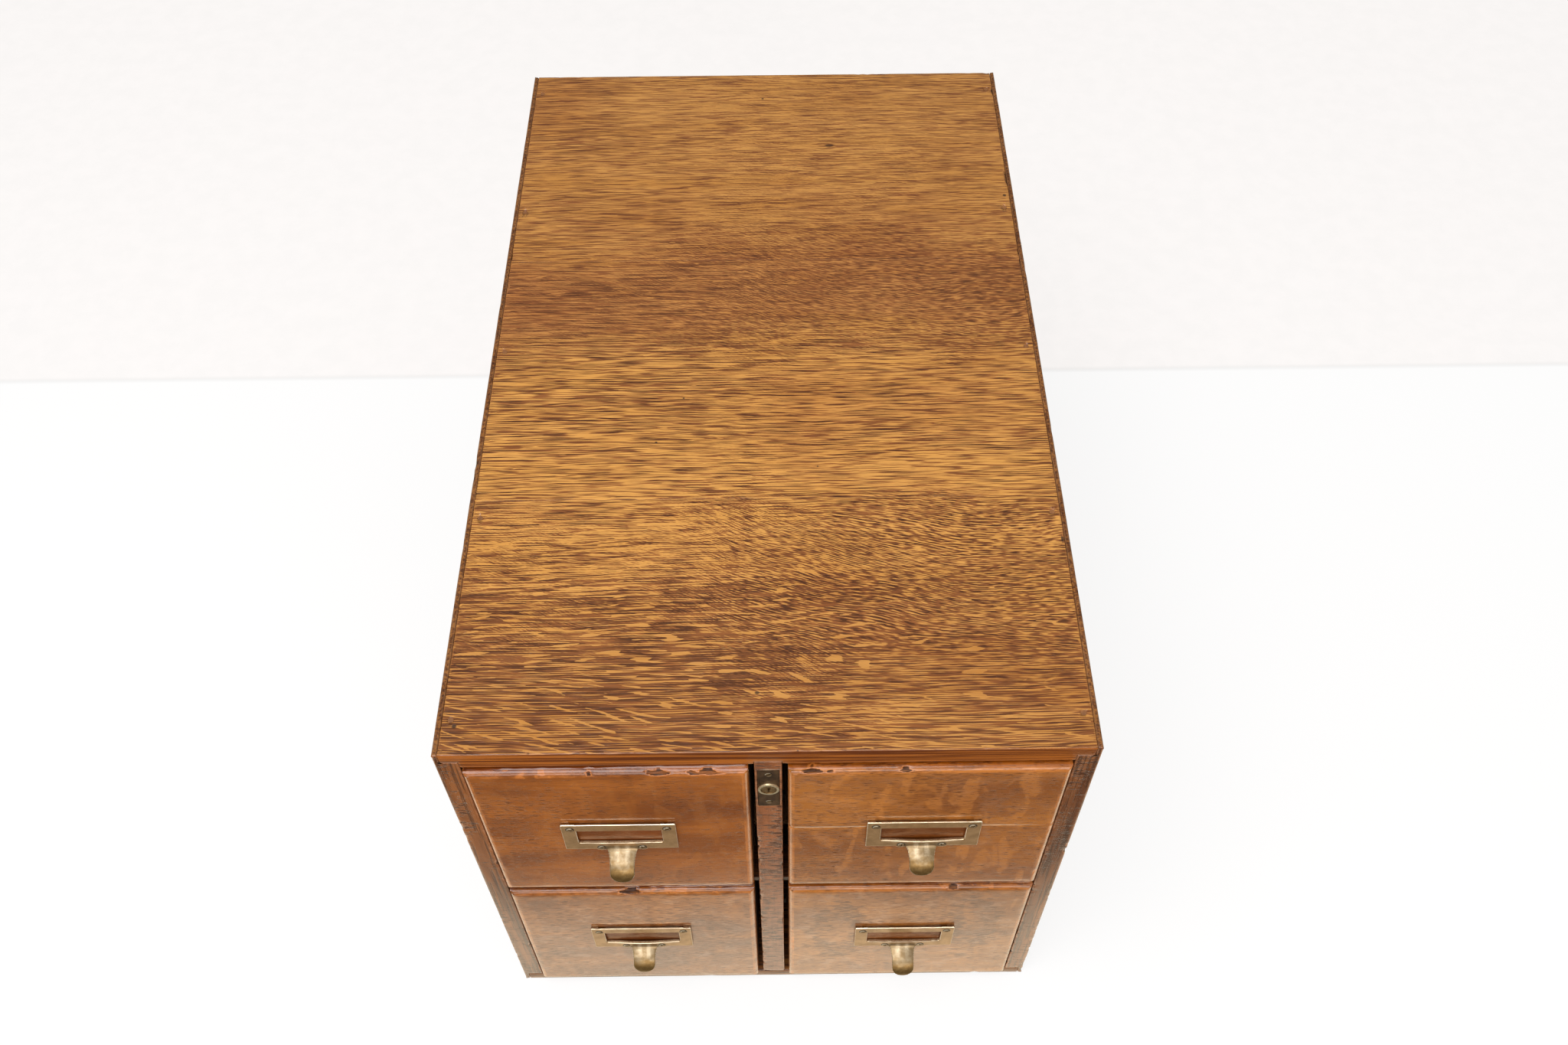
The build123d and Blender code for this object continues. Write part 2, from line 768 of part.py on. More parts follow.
def save_drawer(name, place, mended):
    """The pieces of one drawer."""
    drop = pull_drops[name]
    pull_place = place * Pos(pull_shifts[name], 0, 0)
    front = drawer_front(drop, pull_shifts[name])
    outer, inner = ("right", "left") if place.position.X > 0 else ("left", "right")
    if mended:
        upper = block(-front_width, front_width, y_face, y_box, mended_board_height, front_height)
        save(f"{name}_front_upper_board", place * (front & upper))
        front = front - upper
    save(f"{name}_front", place * front)
    sides = dict(zip(("left", "right"), both_sides(drawer_side())))
    save(f"{name}_outer_side", place * sides[outer])
    save(f"{name}_inner_side", place * sides[inner])
    save(f"{name}_back", place * drawer_back())
    save(f"{name}_bottom", place * drawer_bottom())
    save(f"{name}_follower", place * follower_block())
    save(f"{name}_follower_shoe", place * follower_shoe())
    screws = turned_screws(pull_screw_places(drop), *pull_screw, pull_screw_dome)
    save(f"{name}_pull", pull_place * label_pull(drop, tongue_reaches[name]))
    save(f"{name}_pull_screws", pull_place * screws)


os.makedirs("parts", exist_ok=True)
save_case()
save_lock()
for row, z in row_z.items():
    for column, x in (("left", -column_x), ("right", column_x)):
        drawer = f"{row}_{column}"
        save_drawer(drawer, Pos(x, 0, z), drawer == "upper_right")
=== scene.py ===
import math

import bmesh
import bpy
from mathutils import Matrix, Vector, noise


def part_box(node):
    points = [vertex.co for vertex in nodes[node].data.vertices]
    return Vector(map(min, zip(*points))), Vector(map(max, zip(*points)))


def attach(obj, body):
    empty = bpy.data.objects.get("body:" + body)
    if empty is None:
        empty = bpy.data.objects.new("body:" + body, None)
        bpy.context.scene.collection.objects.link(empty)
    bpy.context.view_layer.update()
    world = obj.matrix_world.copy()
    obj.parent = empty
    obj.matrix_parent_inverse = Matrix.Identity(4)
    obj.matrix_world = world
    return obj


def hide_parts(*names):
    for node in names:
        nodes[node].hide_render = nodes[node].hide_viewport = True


# Tabletop oak card cabinet, seen from above its front. Lengths are in metres in the CAD's frame:
# +Z is up, the drawers open towards -Y, and x = 0 is the middle.

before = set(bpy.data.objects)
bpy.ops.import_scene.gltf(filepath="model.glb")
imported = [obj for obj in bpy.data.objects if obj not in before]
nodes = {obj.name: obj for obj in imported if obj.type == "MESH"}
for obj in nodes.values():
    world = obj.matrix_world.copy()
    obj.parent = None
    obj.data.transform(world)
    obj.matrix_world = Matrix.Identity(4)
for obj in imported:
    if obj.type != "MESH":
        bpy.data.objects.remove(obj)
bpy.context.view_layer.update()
MM = 0.001

DRAWERS = ["lower_left", "lower_right", "upper_left", "upper_right"]

# Places taken from the frame: front, back and the two glued seams of the top
y_front, seam_near = (corner.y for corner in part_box("top_board_front"))
seam_far, y_rear = (corner.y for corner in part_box("top_board_rear"))

# Places on the top are given in millimetres from the middle and from the front
CASE_DEPTH_MM = 659.0
KNOT_X_MM, KNOT_DEPTH_MM = 53.7, 561.7
# Old marks: (x, depth, reach) or (x, depth, reach in x, reach in depth)
TOP_MARKS = [(-6.2, 40.6, 2.0, 1.4), (-1.5, 625.2, 1.4), (-58.5, 282.3, 1.0), (-76.4, 241.2, 1.2),
             (35.3, 218.3, 0.9), (195.1, 154.2, 1.4, 3.0), (-188.4, 19.8, 1.9), (192.6, 496.9, 1.9)]

# How the figure of the top changes from 0 at the front to 1 at the back: (place, value)
SKEW_SHARE = [(0.0, 0.1), (0.07, 0.3), (0.12, 0.8), (0.26, 0.8), (0.30, 0.1), (0.48, 0.1), (0.53, 0.7),
              (0.66, 0.6), (0.72, 0.25), (1.0, 0.2)]
GOLD_FROM = [(0.0, 0.41), (0.1, 0.415), (0.2, 0.475), (0.28, 0.49), (0.30, 0.515), (0.47, 0.50), (0.53, 0.46),
             (0.62, 0.46), (0.7, 0.50), (0.85, 0.52), (1.0, 0.51)]
RIM_SHARE = [(0.0, 0.75), (0.2, 0.9), (0.30, 0.95), (0.47, 0.9), (0.53, 0.7), (0.62, 0.7), (0.7, 0.55),
             (1.0, 0.5)]
BOLD_FROM = [(0.0, 0.63), (0.12, 0.64), (0.2, 0.70), (0.3, 0.78), (0.55, 0.78), (0.62, 0.70), (0.7, 0.78)]
WARMTH = [(0.0, 0.25), (0.1, 0.35), (0.2, 0.85), (0.3, 1.0), (0.48, 0.9), (0.54, 0.0), (0.63, 0.0),
          (0.72, 0.35), (1.0, 0.4)]

# Radians per metre of the fine lines of the top, one in about 1.5 mm
LINE_WAVE, SKEW_WAVE = 4190.0, 3900.0

# Vertices this close are one, and edges sharper than this are rounded
WELD = 0.004 * MM
BEVEL_ANGLE = math.radians(50)

# Large chips: how far their middle lies below the upper edge, and half their height
CHIP_DROP, CHIP_HALF = 1.3 * MM, 1.8 * MM

# From a drawer's lower edge to the next one's, and where in it the chipped upper edge starts
ROW_PITCH, UPPER_EDGE = 0.1805, 0.17

# Label holder pulls: grain of the remeshing, thickness of the plate and of the rim behind it, drop of the lower
# bar below the upper edge, half width of the tongue, of the bowed part of the bar and of the painted shade on
# the wood behind the plate, and half height and drop of that painted shade
PULL_VOXEL = 0.42 * MM
PULL_PLATE, PULL_RIM, PULL_BAR = 2.5 * MM, 1.3 * MM, 25 * MM
TONGUE_HALF, BOW_HALF = 9 * MM, 27 * MM
PLATE_SHADE_HALF, PLATE_SHADE_HIGH, PLATE_SHADE_DROP = 33 * MM, 12 * MM, 16.5 * MM
PLATE_SHADE_BLUR = 2 * MM

# Painted shade on the bare wood seen down in the gaps: where it ends and where it is full, behind the case's
# front
GAP_SHADE_END, GAP_SHADE_FULL = 48 * MM, 22 * MM


# Small helpers for shader trees

def srgb(r, g, b):
    """Linear colour from the usual 0 to 255 values."""
    out = []
    for c in (r, g, b):
        c /= 255
        out.append(c / 12.92 if c <= 0.04045 else ((c + 0.055) / 1.055) ** 2.4)
    return (*out, 1.0)


class Graph:
    """Builds the node tree of a new material, or of the world that is handed in."""

    def __init__(self, name, world=None):
        self.material = world or bpy.data.materials.new(name)
        self.material.use_nodes = True
        self.tree = self.material.node_tree
        self.tree.nodes.clear()

    def node(self, kind, *values, **settings):
        made = self.tree.nodes.new("ShaderNode" + kind)
        for key, value in settings.items():
            setattr(made, key, value)
        for k, value in enumerate(values):
            if value is not None:
                self.put(made.inputs[k], value)
        return made

    def put(self, socket, value):
        if isinstance(value, bpy.types.NodeSocket):
            self.tree.links.new(value, socket)
        else:
            socket.default_value = value

    def math(self, operation, a, b=None):
        return self.node("Math", a, b, operation=operation).outputs[0]

    def add(self, a, b):
        return self.math("ADD", a, b)

    def take(self, a, b):
        return self.math("SUBTRACT", a, b)

    def times(self, a, b):
        return self.math("MULTIPLY", a, b)

    def product(self, first, *others):
        for other in others:
            first = self.times(first, other)
        return first

    def centred(self, value, width):
        """Noise from 0 to 1 made to swing about 0, width wide."""
        return self.times(self.take(value, 0.5), width)

    def length(self, a, b):
        return self.math("SQRT", self.add(self.times(a, a), self.times(b, b)))

    def vector(self, x, y, z):
        return self.node("CombineXYZ", x, y, z).outputs[0]

    def noise(self, vector, detail=2.0, rough=0.5, distortion=0.0):
        made = self.node("TexNoise")
        self.put(made.inputs["Vector"], vector)
        self.put(made.inputs["Scale"], 1.0)
        self.put(made.inputs["Detail"], detail)
        self.put(made.inputs["Roughness"], rough)
        self.put(made.inputs["Distortion"], distortion)
        return made.outputs[0]

    def rise(self, value, low, high, start=0.0, end=1.0):
        """Smooth step from start to end as value goes from low to high."""
        made = self.node("MapRange", value, low, high, start, end, interpolation_type="SMOOTHSTEP")
        return made.outputs[0]

    def mix(self, factor, a, b, blend="MIX"):
        made = self.node("Mix", data_type="RGBA", blend_type=blend)
        for k, value in ((0, factor), (6, a), (7, b)):
            self.put(made.inputs[k], value)
        return made.outputs[2]

    def tint(self, colour, by):
        """The colour multiplied by another."""
        return self.mix(1.0, colour, by, "MULTIPLY")

    def ramp(self, value, stops):
        """Grey values along a ramp: (place, value) pairs."""
        made = self.node("ValToRGB", value)
        band = made.color_ramp
        while len(band.elements) < len(stops):
            band.elements.new(0.5)
        for element, (place, grey) in zip(band.elements, stops):
            element.position = place
            element.color = (grey, grey, grey, 1)
        return made.outputs[0]

    def axes(self, order):
        """Object coordinates named in order, such as 'xyz', as three values."""
        place = self.node("TexCoord").outputs["Object"]
        split = self.node("SeparateXYZ", place).outputs
        return [split["xyz".index(c)] for c in order]

    def attribute(self, name):
        return self.node("Attribute", attribute_name=name).outputs["Fac"]

    def facing(self):
        """The surface's direction in the world, as three values."""
        return self.node("SeparateXYZ", self.node("NewGeometry").outputs["Normal"]).outputs

    def grime(self, colour, distance, low, high, share, dark):
        """Darkens hollows by their ambient occlusion, as painted shade together with grime; low and high are
        how open a place is where that starts and where it is full.
        """
        open_to = self.node("AmbientOcclusion", samples=6)
        self.put(open_to.inputs["Distance"], distance)
        return self.mix(self.rise(open_to.outputs["AO"], low, high, 0.0, share), colour, dark)

    def bump(self, height, distance):
        made = self.node("Bump")
        self.put(made.inputs["Strength"], 1.0)
        self.put(made.inputs["Distance"], distance)
        self.put(made.inputs["Height"], height)
        return made.outputs[0]

    def surface(self, **sockets):
        """Finishes the material with one principled shader."""
        shader = self.node("BsdfPrincipled")
        for key, value in sockets.items():
            self.put(shader.inputs[key.replace("_", " ")], value)
        out = self.node("OutputMaterial")
        self.tree.links.new(shader.outputs[0], out.inputs["Surface"])
        return self.material


# Woods

def grain(g, u, v, w, wave, wobble):
    """Bends v so that the grain wanders in long waves and wobbles finely."""
    far = streak(g, u, v, w, 2.6, 5.0, 1.0, 0.5)
    v = g.add(v, g.centred(far, wave))
    near = streak(g, u, v, w, 24, 90, 1.0, 0.5)
    return g.add(v, g.centred(near, wobble))


def streak(g, u, v, w, along, across, detail=2.0, rough=0.55):
    """Noise drawn out along the grain; along and across are its features per metre."""
    return g.noise(g.vector(g.times(u, along), g.times(v, across), g.times(w, across)), detail, rough)


def rubbed_edges(g, colour, u, v, w, worn, dark, amount):
    """Rubs the worn edges lighter and gives the chips a pale rim and a dark, torn middle."""
    rub = streak(g, u, v, w, 70, 70, 4.0, 0.7)
    edge = g.add(g.attribute("wear"), g.centred(rub, 1.6))
    colour = g.mix(g.rise(edge, 0.75, 1.15, 0.0, amount), colour, worn)
    nick = g.attribute("nick")
    rim = g.times(g.rise(nick, 0.08, 0.25), g.rise(nick, 0.55, 0.35))
    colour = g.mix(g.times(rim, 0.5), colour, worn)
    torn = streak(g, u, v, w, 60, 700, 1.0)
    return g.mix(g.times(g.rise(nick, 0.35, 0.75), g.rise(torn, 0.40, 0.55, 0.4, 0.9)), colour, dark)


def spot(g, x, depth_mm, middle_x, middle_depth, reach_x, reach_depth=None):
    """1 inside an ellipse on the top, falling to 0 at its edge; all in millimetres."""
    reach_depth = reach_depth or reach_x
    a = g.times(g.take(g.times(x, 1000), middle_x), 1 / reach_x)
    b = g.times(g.take(depth_mm, middle_depth), 1 / reach_depth)
    return g.rise(g.length(a, b), 1.0, 0.45)


def top_oak():
    """Quarter-sawn oak of the top: brown with golden lines and flecks that change from front to back."""
    g = Graph("oak_top")
    x, y, z = g.axes("xyz")
    seed = g.attribute("seed")
    depth_mm = g.times(g.take(y, y_front), 1000)
    drift = g.noise(g.vector(g.times(x, 6), g.times(y, 6), 0), 2.0)
    zone = g.math("DIVIDE", g.add(depth_mm, g.centred(drift, 105)), CASE_DEPTH_MM)

    # the lines bend round the knot near the back
    knot = spot(g, x, depth_mm, KNOT_X_MM, KNOT_DEPTH_MM, 26, 9)
    core = spot(g, x, depth_mm, KNOT_X_MM, KNOT_DEPTH_MM, 5, 2.6)
    side_of = g.take(depth_mm, KNOT_DEPTH_MM)
    u = g.add(x, g.times(seed, 1.7))
    v = g.add(g.add(y, g.times(seed, 0.61)), g.product(knot, side_of, -0.00045))
    v = grain(g, u, v, z, 0.014, 0.0022)

    phase = g.times(streak(g, u, v, z, 9, 210, 1.0), 9.0)
    wave = g.math("SINE", g.add(g.times(v, LINE_WAVE), phase))
    lines = g.add(g.times(streak(g, u, v, z, 46, 1150, 1.0), 0.86), g.add(g.times(wave, 0.07), 0.07))

    # to the right of the middle of each flecked zone the lines lie askew
    bend = g.times(g.math("MAXIMUM", x, 0.0), g.times(g.math("MAXIMUM", x, 0.0), -1.0))
    wander = g.centred(g.noise(g.vector(g.times(x, 9), g.times(y, 14), seed), 1.0), 0.034)
    v_skew = g.add(g.add(g.add(y, g.times(x, 0.36)), bend), g.times(wander, 0.8))
    skew_wave = g.math("SINE", g.add(g.times(v_skew, SKEW_WAVE), phase))
    skewed = g.times(streak(g, g.add(x, seed), v_skew, z, 115, 1000, 1.0), 0.9)
    skewed = g.add(skewed, g.add(g.times(skew_wave, 0.06), 0.05))
    skew_share = g.ramp(zone, SKEW_SHARE)
    skew_share = g.times(skew_share, g.rise(g.add(x, g.centred(drift, 0.2)), -0.11, 0.0, 0.3, 1.0))
    lines = g.add(lines, g.times(skew_share, g.take(skewed, lines)))

    gold_from = g.ramp(zone, GOLD_FROM)
    band = g.noise(g.vector(g.times(x, 4), g.times(y, 34), seed), 2.0, 0.5)
    gold_from = g.add(gold_from, g.centred(band, 0.16))
    gold_from = g.add(gold_from, g.times(g.rise(x, 0.0, 0.10), g.rise(zone, 0.16, 0.06, 0.0, 0.065)))
    over = g.take(lines, gold_from)
    gold = g.rise(over, 0.045, -0.045)
    rim_share = g.ramp(zone, RIM_SHARE)
    presence = streak(g, u, v, z, 22, 220, 1.0)
    rim = g.product(g.rise(over, 0.05, 0.13), rim_share, g.rise(presence, 0.25, 0.55))
    pores = g.rise(streak(g, u, v, z, 60, 2400), 0.54, 0.66)

    # bold flecks fan out from a point near the front of the left edge
    left = g.add(x, 0.2)
    curve = g.math("EXPONENT", g.times(left, -20.0))
    turn = g.rise(depth_mm, 10, 104, -1.0, 1.0)
    v_bold = g.add(y, g.product(turn, g.take(1.0, curve), -0.013))
    v_bold = g.add(v_bold, g.product(x, g.rise(turn, 0.3, -0.5), 0.14))
    bold = streak(g, g.add(x, seed), g.add(v_bold, g.times(wander, 0.5)), z, 58, 500, 0.0)
    bold = g.take(bold, g.centred(lines, 0.25))
    bold_from = g.ramp(zone, BOLD_FROM)
    bold_from = g.add(bold_from, g.rise(x, 0.0, 0.10, 0.0, 0.05))
    fleck = g.rise(g.take(bold, bold_from), 0.0, 0.03)

    # colours
    tone = streak(g, u, v, z, 9, 70, 3.0, 0.6)
    brown = g.mix(g.rise(tone, 0.3, 0.7), srgb(130, 76, 38), srgb(150, 92, 48))
    golden = g.mix(g.rise(tone, 0.3, 0.65), srgb(180, 120, 54), srgb(194, 136, 70))
    warmth = g.ramp(zone, WARMTH)
    golden = g.mix(g.times(warmth, 0.5), golden, srgb(238, 174, 88))
    golden = g.mix(g.rise(warmth, 0.2, 0.0, 0.0, 0.3), golden, srgb(192, 124, 68))
    colour = g.mix(g.math("MAXIMUM", gold, g.times(fleck, 0.95)), brown, golden)
    dark = g.math("MAXIMUM", g.times(rim, 0.95), g.times(pores, 0.45))
    dark = g.times(dark, g.rise(fleck, 0.9, 0.2, 0.1, 1.0))
    colour = g.mix(dark, colour, srgb(58, 30, 16))
    stain = g.noise(g.vector(g.times(x, 5), g.times(y, 9), seed), 3.0, 0.55)
    colour = g.mix(g.rise(stain, 0.45, 0.75, 0.0, 0.5), colour, g.tint(colour, srgb(214, 190, 186)))
    colour = g.mix(g.times(core, 0.85), colour, srgb(70, 40, 24))
    colour = rubbed_edges(g, colour, x, y, z, srgb(170, 112, 62), srgb(70, 40, 24), 0.45)

    # old marks
    marks = None
    for place in TOP_MARKS:
        made = spot(g, x, depth_mm, *place)
        marks = made if marks is None else g.math("MAXIMUM", marks, made)
    colour = g.mix(g.times(marks, 0.85), colour, srgb(48, 34, 28))

    # the front face of the top is darker, with long plain lines
    face = g.rise(g.facing()[1], -0.45, -0.85)
    face_lines = g.noise(g.vector(g.times(x, 7), g.times(z, 420), 0.3), 3.0, 0.6)
    face_colour = g.mix(g.rise(face_lines, 0.4, 0.6), srgb(160, 90, 28), srgb(96, 46, 14))
    colour = g.mix(face, colour, face_colour)

    film = streak(g, x, y, z, 60, 110, 2.0, 0.5)
    deep = g.add(g.times(fleck, 0.2), g.times(marks, -3.0))
    deep = g.add(g.times(rim, -0.6), g.add(g.times(pores, -0.8), deep))
    wood_normal = g.bump(g.add(deep, g.times(film, 0.6)), 0.06 * MM)
    coat_normal = g.bump(g.add(g.times(deep, 0.8), g.times(film, 1.6)), 0.04 * MM)
    return g.surface(Base_Color=colour, Roughness=g.add(0.42, g.times(rim, 0.1)), Normal=wood_normal,
                     Coat_Normal=coat_normal, Coat_Weight=g.rise(face, 0.0, 1.0, 0.8, 0.35),
                     Coat_Roughness=0.16, Coat_IOR=1.5, Specular_IOR_Level=0.1)


def case_oak(name, order, shade=(1, 1, 1, 1)):
    """Darker varnished oak of the sides and other case boards; the last argument darkens it further as painted
    shade, for pieces seen down in the dark gaps.
    """
    g = Graph(name)
    u, v, w = g.axes(order)
    seed = g.attribute("seed")
    u, v = g.add(u, g.times(seed, 1.7)), g.add(v, g.times(seed, 0.61))
    v = grain(g, u, v, w, 0.018, 0.0022)
    lines = g.add(streak(g, u, v, w, 16, 560, 2.0), g.centred(streak(g, u, v, w, 3, 60), 0.2))
    gold = g.rise(lines, 0.50, 0.42)
    rim = g.rise(lines, 0.54, 0.62)
    pores = g.rise(streak(g, u, v, w, 34, 1150), 0.53, 0.66)
    skew = g.noise(g.vector(g.times(u, 7), g.times(v, 11), 0), 1.0)
    askew = g.add(v, g.centred(skew, 0.05))
    fleck = g.rise(g.take(streak(g, u, askew, w, 30, 290, 1.0), g.centred(lines, 0.4)), 0.62, 0.65)
    tone = streak(g, u, v, w, 6, 40, 3.0, 0.6)
    brown = g.mix(g.rise(tone, 0.3, 0.7), srgb(96, 56, 30), srgb(128, 80, 44))
    golden = g.mix(g.rise(tone, 0.3, 0.65), srgb(134, 84, 38), srgb(156, 104, 52))
    colour = g.mix(g.math("MAXIMUM", gold, fleck), brown, golden)
    colour = g.mix(g.math("MAXIMUM", g.times(rim, 0.6), g.times(pores, 0.4)), colour, srgb(60, 36, 22))
    stain = g.noise(g.vector(g.times(u, 4), g.times(v, 7), 0), 4.0, 0.6)
    colour = g.mix(g.rise(stain, 0.4, 0.75, 0.0, 0.6), colour, g.tint(colour, srgb(180, 150, 140)))
    colour = g.tint(colour, shade)
    colour = rubbed_edges(g, colour, u, v, w, srgb(134, 96, 66), srgb(54, 34, 22), 0.6)
    film = streak(g, u, v, w, 60, 110, 2.0, 0.5)
    deep = g.add(g.times(rim, -0.6), g.times(pores, -0.8))
    wood_normal = g.bump(g.add(deep, g.times(film, 0.6)), 0.06 * MM)
    coat_normal = g.bump(g.add(g.times(deep, 0.8), g.times(film, 1.6)), 0.04 * MM)
    return g.surface(Base_Color=colour, Roughness=0.48, Normal=wood_normal, Coat_Normal=coat_normal,
                     Coat_Weight=0.5, Coat_Roughness=0.24, Coat_IOR=1.5, Specular_IOR_Level=0.1)


def front_wood(drawer, light, dark, flames, tick_share, bloom, rings=()):
    """Reddish varnished wood of one drawer front. flames brightens wavy patches, bloom clouds the varnish in
    spots, and rings are ragged dark patches.
    """
    g = Graph(f"front_{drawer}")
    x, y, z = g.axes("xyz")
    seed = g.attribute("seed")
    u, v = g.add(x, g.times(seed, 2.3)), g.add(z, g.times(seed, 0.83))
    v = grain(g, u, v, y, 0.030, 0.0020)
    tone = streak(g, u, v, y, 6, 38, 3.0, 0.6)
    patch = g.noise(g.vector(g.times(u, 11), g.times(v, 14), 0.4), 2.0, 0.5)
    fine = streak(g, u, v, y, 26, 420, 3.0, 0.6)
    colour = g.mix(g.rise(g.add(g.times(tone, 0.6), g.times(patch, 0.4)), 0.36, 0.64), dark, light)
    colour = g.mix(g.rise(fine, 0.42, 0.62, 0.0, 0.35), colour, dark)
    flame = g.noise(g.vector(g.times(u, 60), g.times(v, 24), 0.2), 2.0, 0.5, 0.8)
    colour = g.mix(g.times(g.rise(flame, 0.52, 0.62), flames), colour, srgb(206, 130, 58))
    tick = streak(g, u, v, y, 140, 1150, 1.0)
    density = g.noise(g.vector(g.times(u, 16), g.times(v, 20), 0.7), 2.0)
    tick_from = g.take(0.61, g.add(g.centred(density, 0.28), tick_share))
    for middle_x, middle_z, reach_x, reach_z in rings:
        a = g.times(g.take(x, middle_x), 1 / reach_x)
        b = g.times(g.take(z, middle_z), 1 / reach_z)
        far = g.length(a, b)
        far = g.add(far, g.centred(streak(g, u, v, y, 60, 200), 2.2))
        ring = g.times(g.rise(far, 0.45, 0.75), g.rise(far, 1.25, 0.95))
        tick_from = g.take(tick_from, g.times(ring, 0.10))
        colour = g.mix(g.times(ring, 0.28), colour, srgb(104, 66, 40))
    ticks = g.rise(g.take(tick, tick_from), 0.0, 0.05)
    cloud = g.noise(g.vector(g.times(x, 55), g.times(z, 75), 0.9), 3.0, 0.6)
    cloud = g.times(g.rise(cloud, 0.48, 0.68), bloom)
    colour = g.mix(cloud, colour, srgb(216, 184, 158))

    # painted shade: the wood behind the label holder, seen through its window, is darkened as the plate's
    # shadow
    low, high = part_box(f"{drawer}_pull")
    beside = g.math("ABSOLUTE", g.take(x, (low.x + high.x) / 2))
    level = g.math("ABSOLUTE", g.take(z, high.z - PLATE_SHADE_DROP))
    behind = g.times(g.rise(beside, PLATE_SHADE_HALF + PLATE_SHADE_BLUR, PLATE_SHADE_HALF),
                     g.rise(level, PLATE_SHADE_HIGH + PLATE_SHADE_BLUR, PLATE_SHADE_HIGH))
    shaded_varnish = g.mix(g.rise(tone, 0.35, 0.65), srgb(88, 42, 14), srgb(116, 58, 20))
    colour = g.mix(g.times(behind, 0.8), colour, shaded_varnish)
    colour = g.mix(g.times(ticks, 0.68), colour, srgb(88, 44, 16))

    up = g.facing()[2]
    # painted shade: faces turned up are toned down against the stronger light falling on them
    colour = g.mix(g.rise(up, 0.75, 0.95), colour, g.tint(colour, srgb(214, 184, 128)))
    upper = g.times(g.rise(up, 0.25, 0.6), g.rise(streak(g, u, v, y, 12, 700, 1.0), 0.48, 0.60))
    colour = g.mix(g.times(upper, 0.55), colour, srgb(84, 40, 12))
    rubbed = g.rise(up, 0.2, 0.6, 0.45, 0.3)
    colour = rubbed_edges(g, colour, x, y, z, srgb(206, 124, 56), srgb(48, 24, 12), rubbed)
    glossy = g.times(g.rise(behind, 0.0, 1.0, 1.0, 0.2), g.rise(g.attribute("nick"), 0.2, 0.7, 1.0, 0.15))
    film = streak(g, x, y, z, 40, 70, 2.0, 0.5)
    deep = g.add(g.times(ticks, -1.0), g.times(g.rise(fine, 0.42, 0.62), -0.3))
    wood_normal = g.bump(g.add(deep, g.times(film, 0.7)), 0.05 * MM)
    coat_normal = g.bump(g.add(g.times(deep, 0.5), g.times(film, 2.2)), 0.05 * MM)
    return g.surface(Base_Color=colour, Roughness=g.add(0.36, g.times(ticks, 0.15)), Normal=wood_normal,
                     Coat_Normal=coat_normal, Coat_Weight=glossy, Coat_Roughness=0.12, Coat_IOR=1.5,
                     Specular_IOR_Level=0.1)


def edge_wood(name, pink, crackle):
    """Front edges of the sides and the stile: upright grain crossed by fine cracks."""
    g = Graph(name)
    x, y, z = g.axes("xyz")
    u = g.add(z, g.times(g.attribute("seed"), 1.9))
    grain_lines = streak(g, u, x, y, 16, 520, 3.0, 0.6)
    broad = streak(g, u, x, y, 8, 90, 2.0, 0.6)
    cracks = streak(g, u, x, y, 860, 120, 2.0, 0.6)
    where = streak(g, u, x, y, 14, 45, 2.0, 0.5)
    split_from = g.add(g.times(where, -0.5), 0.93 - crackle)
    split = g.rise(g.take(cracks, split_from), 0.0, 0.05)
    colour = g.mix(g.rise(broad, 0.3, 0.7), srgb(100, 54, 24), srgb(150, 90, 44))
    colour = g.mix(pink, colour, g.mix(g.rise(cracks, 0.35, 0.62), srgb(166, 100, 62), srgb(108, 58, 30)))
    colour = g.mix(g.rise(grain_lines, 0.49, 0.60, 0.0, 0.65 - pink), colour, srgb(62, 34, 18))
    colour = g.mix(g.times(split, 0.72), colour, srgb(64, 30, 14))
    colour = rubbed_edges(g, colour, x, y, z, srgb(186, 128, 88), srgb(44, 24, 14), 0.45)
    deep = g.add(g.times(g.rise(grain_lines, 0.49, 0.60), -0.5), g.times(split, -1.5))
    normal = g.bump(g.add(deep, g.times(cracks, 0.6)), 0.10 * MM)
    return g.surface(Base_Color=colour, Roughness=0.45, Normal=normal, Coat_Normal=normal,
                     Coat_Weight=0.95, Coat_Roughness=0.2, Coat_IOR=1.5, Specular_IOR_Level=0.1)


def bare_wood(name, order, light, dark):
    """Bare aged wood of drawer boxes, runners and other inside pieces."""
    g = Graph(name)
    u, v, w = g.axes(order)
    v = grain(g, u, v, w, 0.03, 0.002)
    ring = streak(g, u, v, w, 2.5, 85, 3.0, 0.6)
    pores = g.rise(streak(g, u, v, w, 45, 1100), 0.52, 0.68)
    dirt = streak(g, u, v, w, 6, 9, 4.0, 0.65)
    colour = g.mix(g.rise(ring, 0.3, 0.7), dark, light)
    colour = g.mix(g.times(pores, 0.5), colour, srgb(92, 62, 36))
    colour = g.mix(g.rise(dirt, 0.45, 0.75, 0.0, 0.45), colour, srgb(104, 76, 50))
    # painted shade: the bare wood just behind the case front, seen down in the gaps, is darkened
    ragged = g.add(g.axes("y")[0], g.centred(dirt, 30 * MM))
    gap_shaded = g.rise(ragged, y_front + GAP_SHADE_END, y_front + GAP_SHADE_FULL)
    colour = g.mix(g.times(gap_shaded, 0.7), colour, g.tint(colour, srgb(140, 104, 76)))
    normal = g.bump(g.add(g.times(pores, -1.0), g.times(dirt, 0.5)), 0.06 * MM)
    return g.surface(Base_Color=colour, Roughness=0.72, Normal=normal)


# Metals

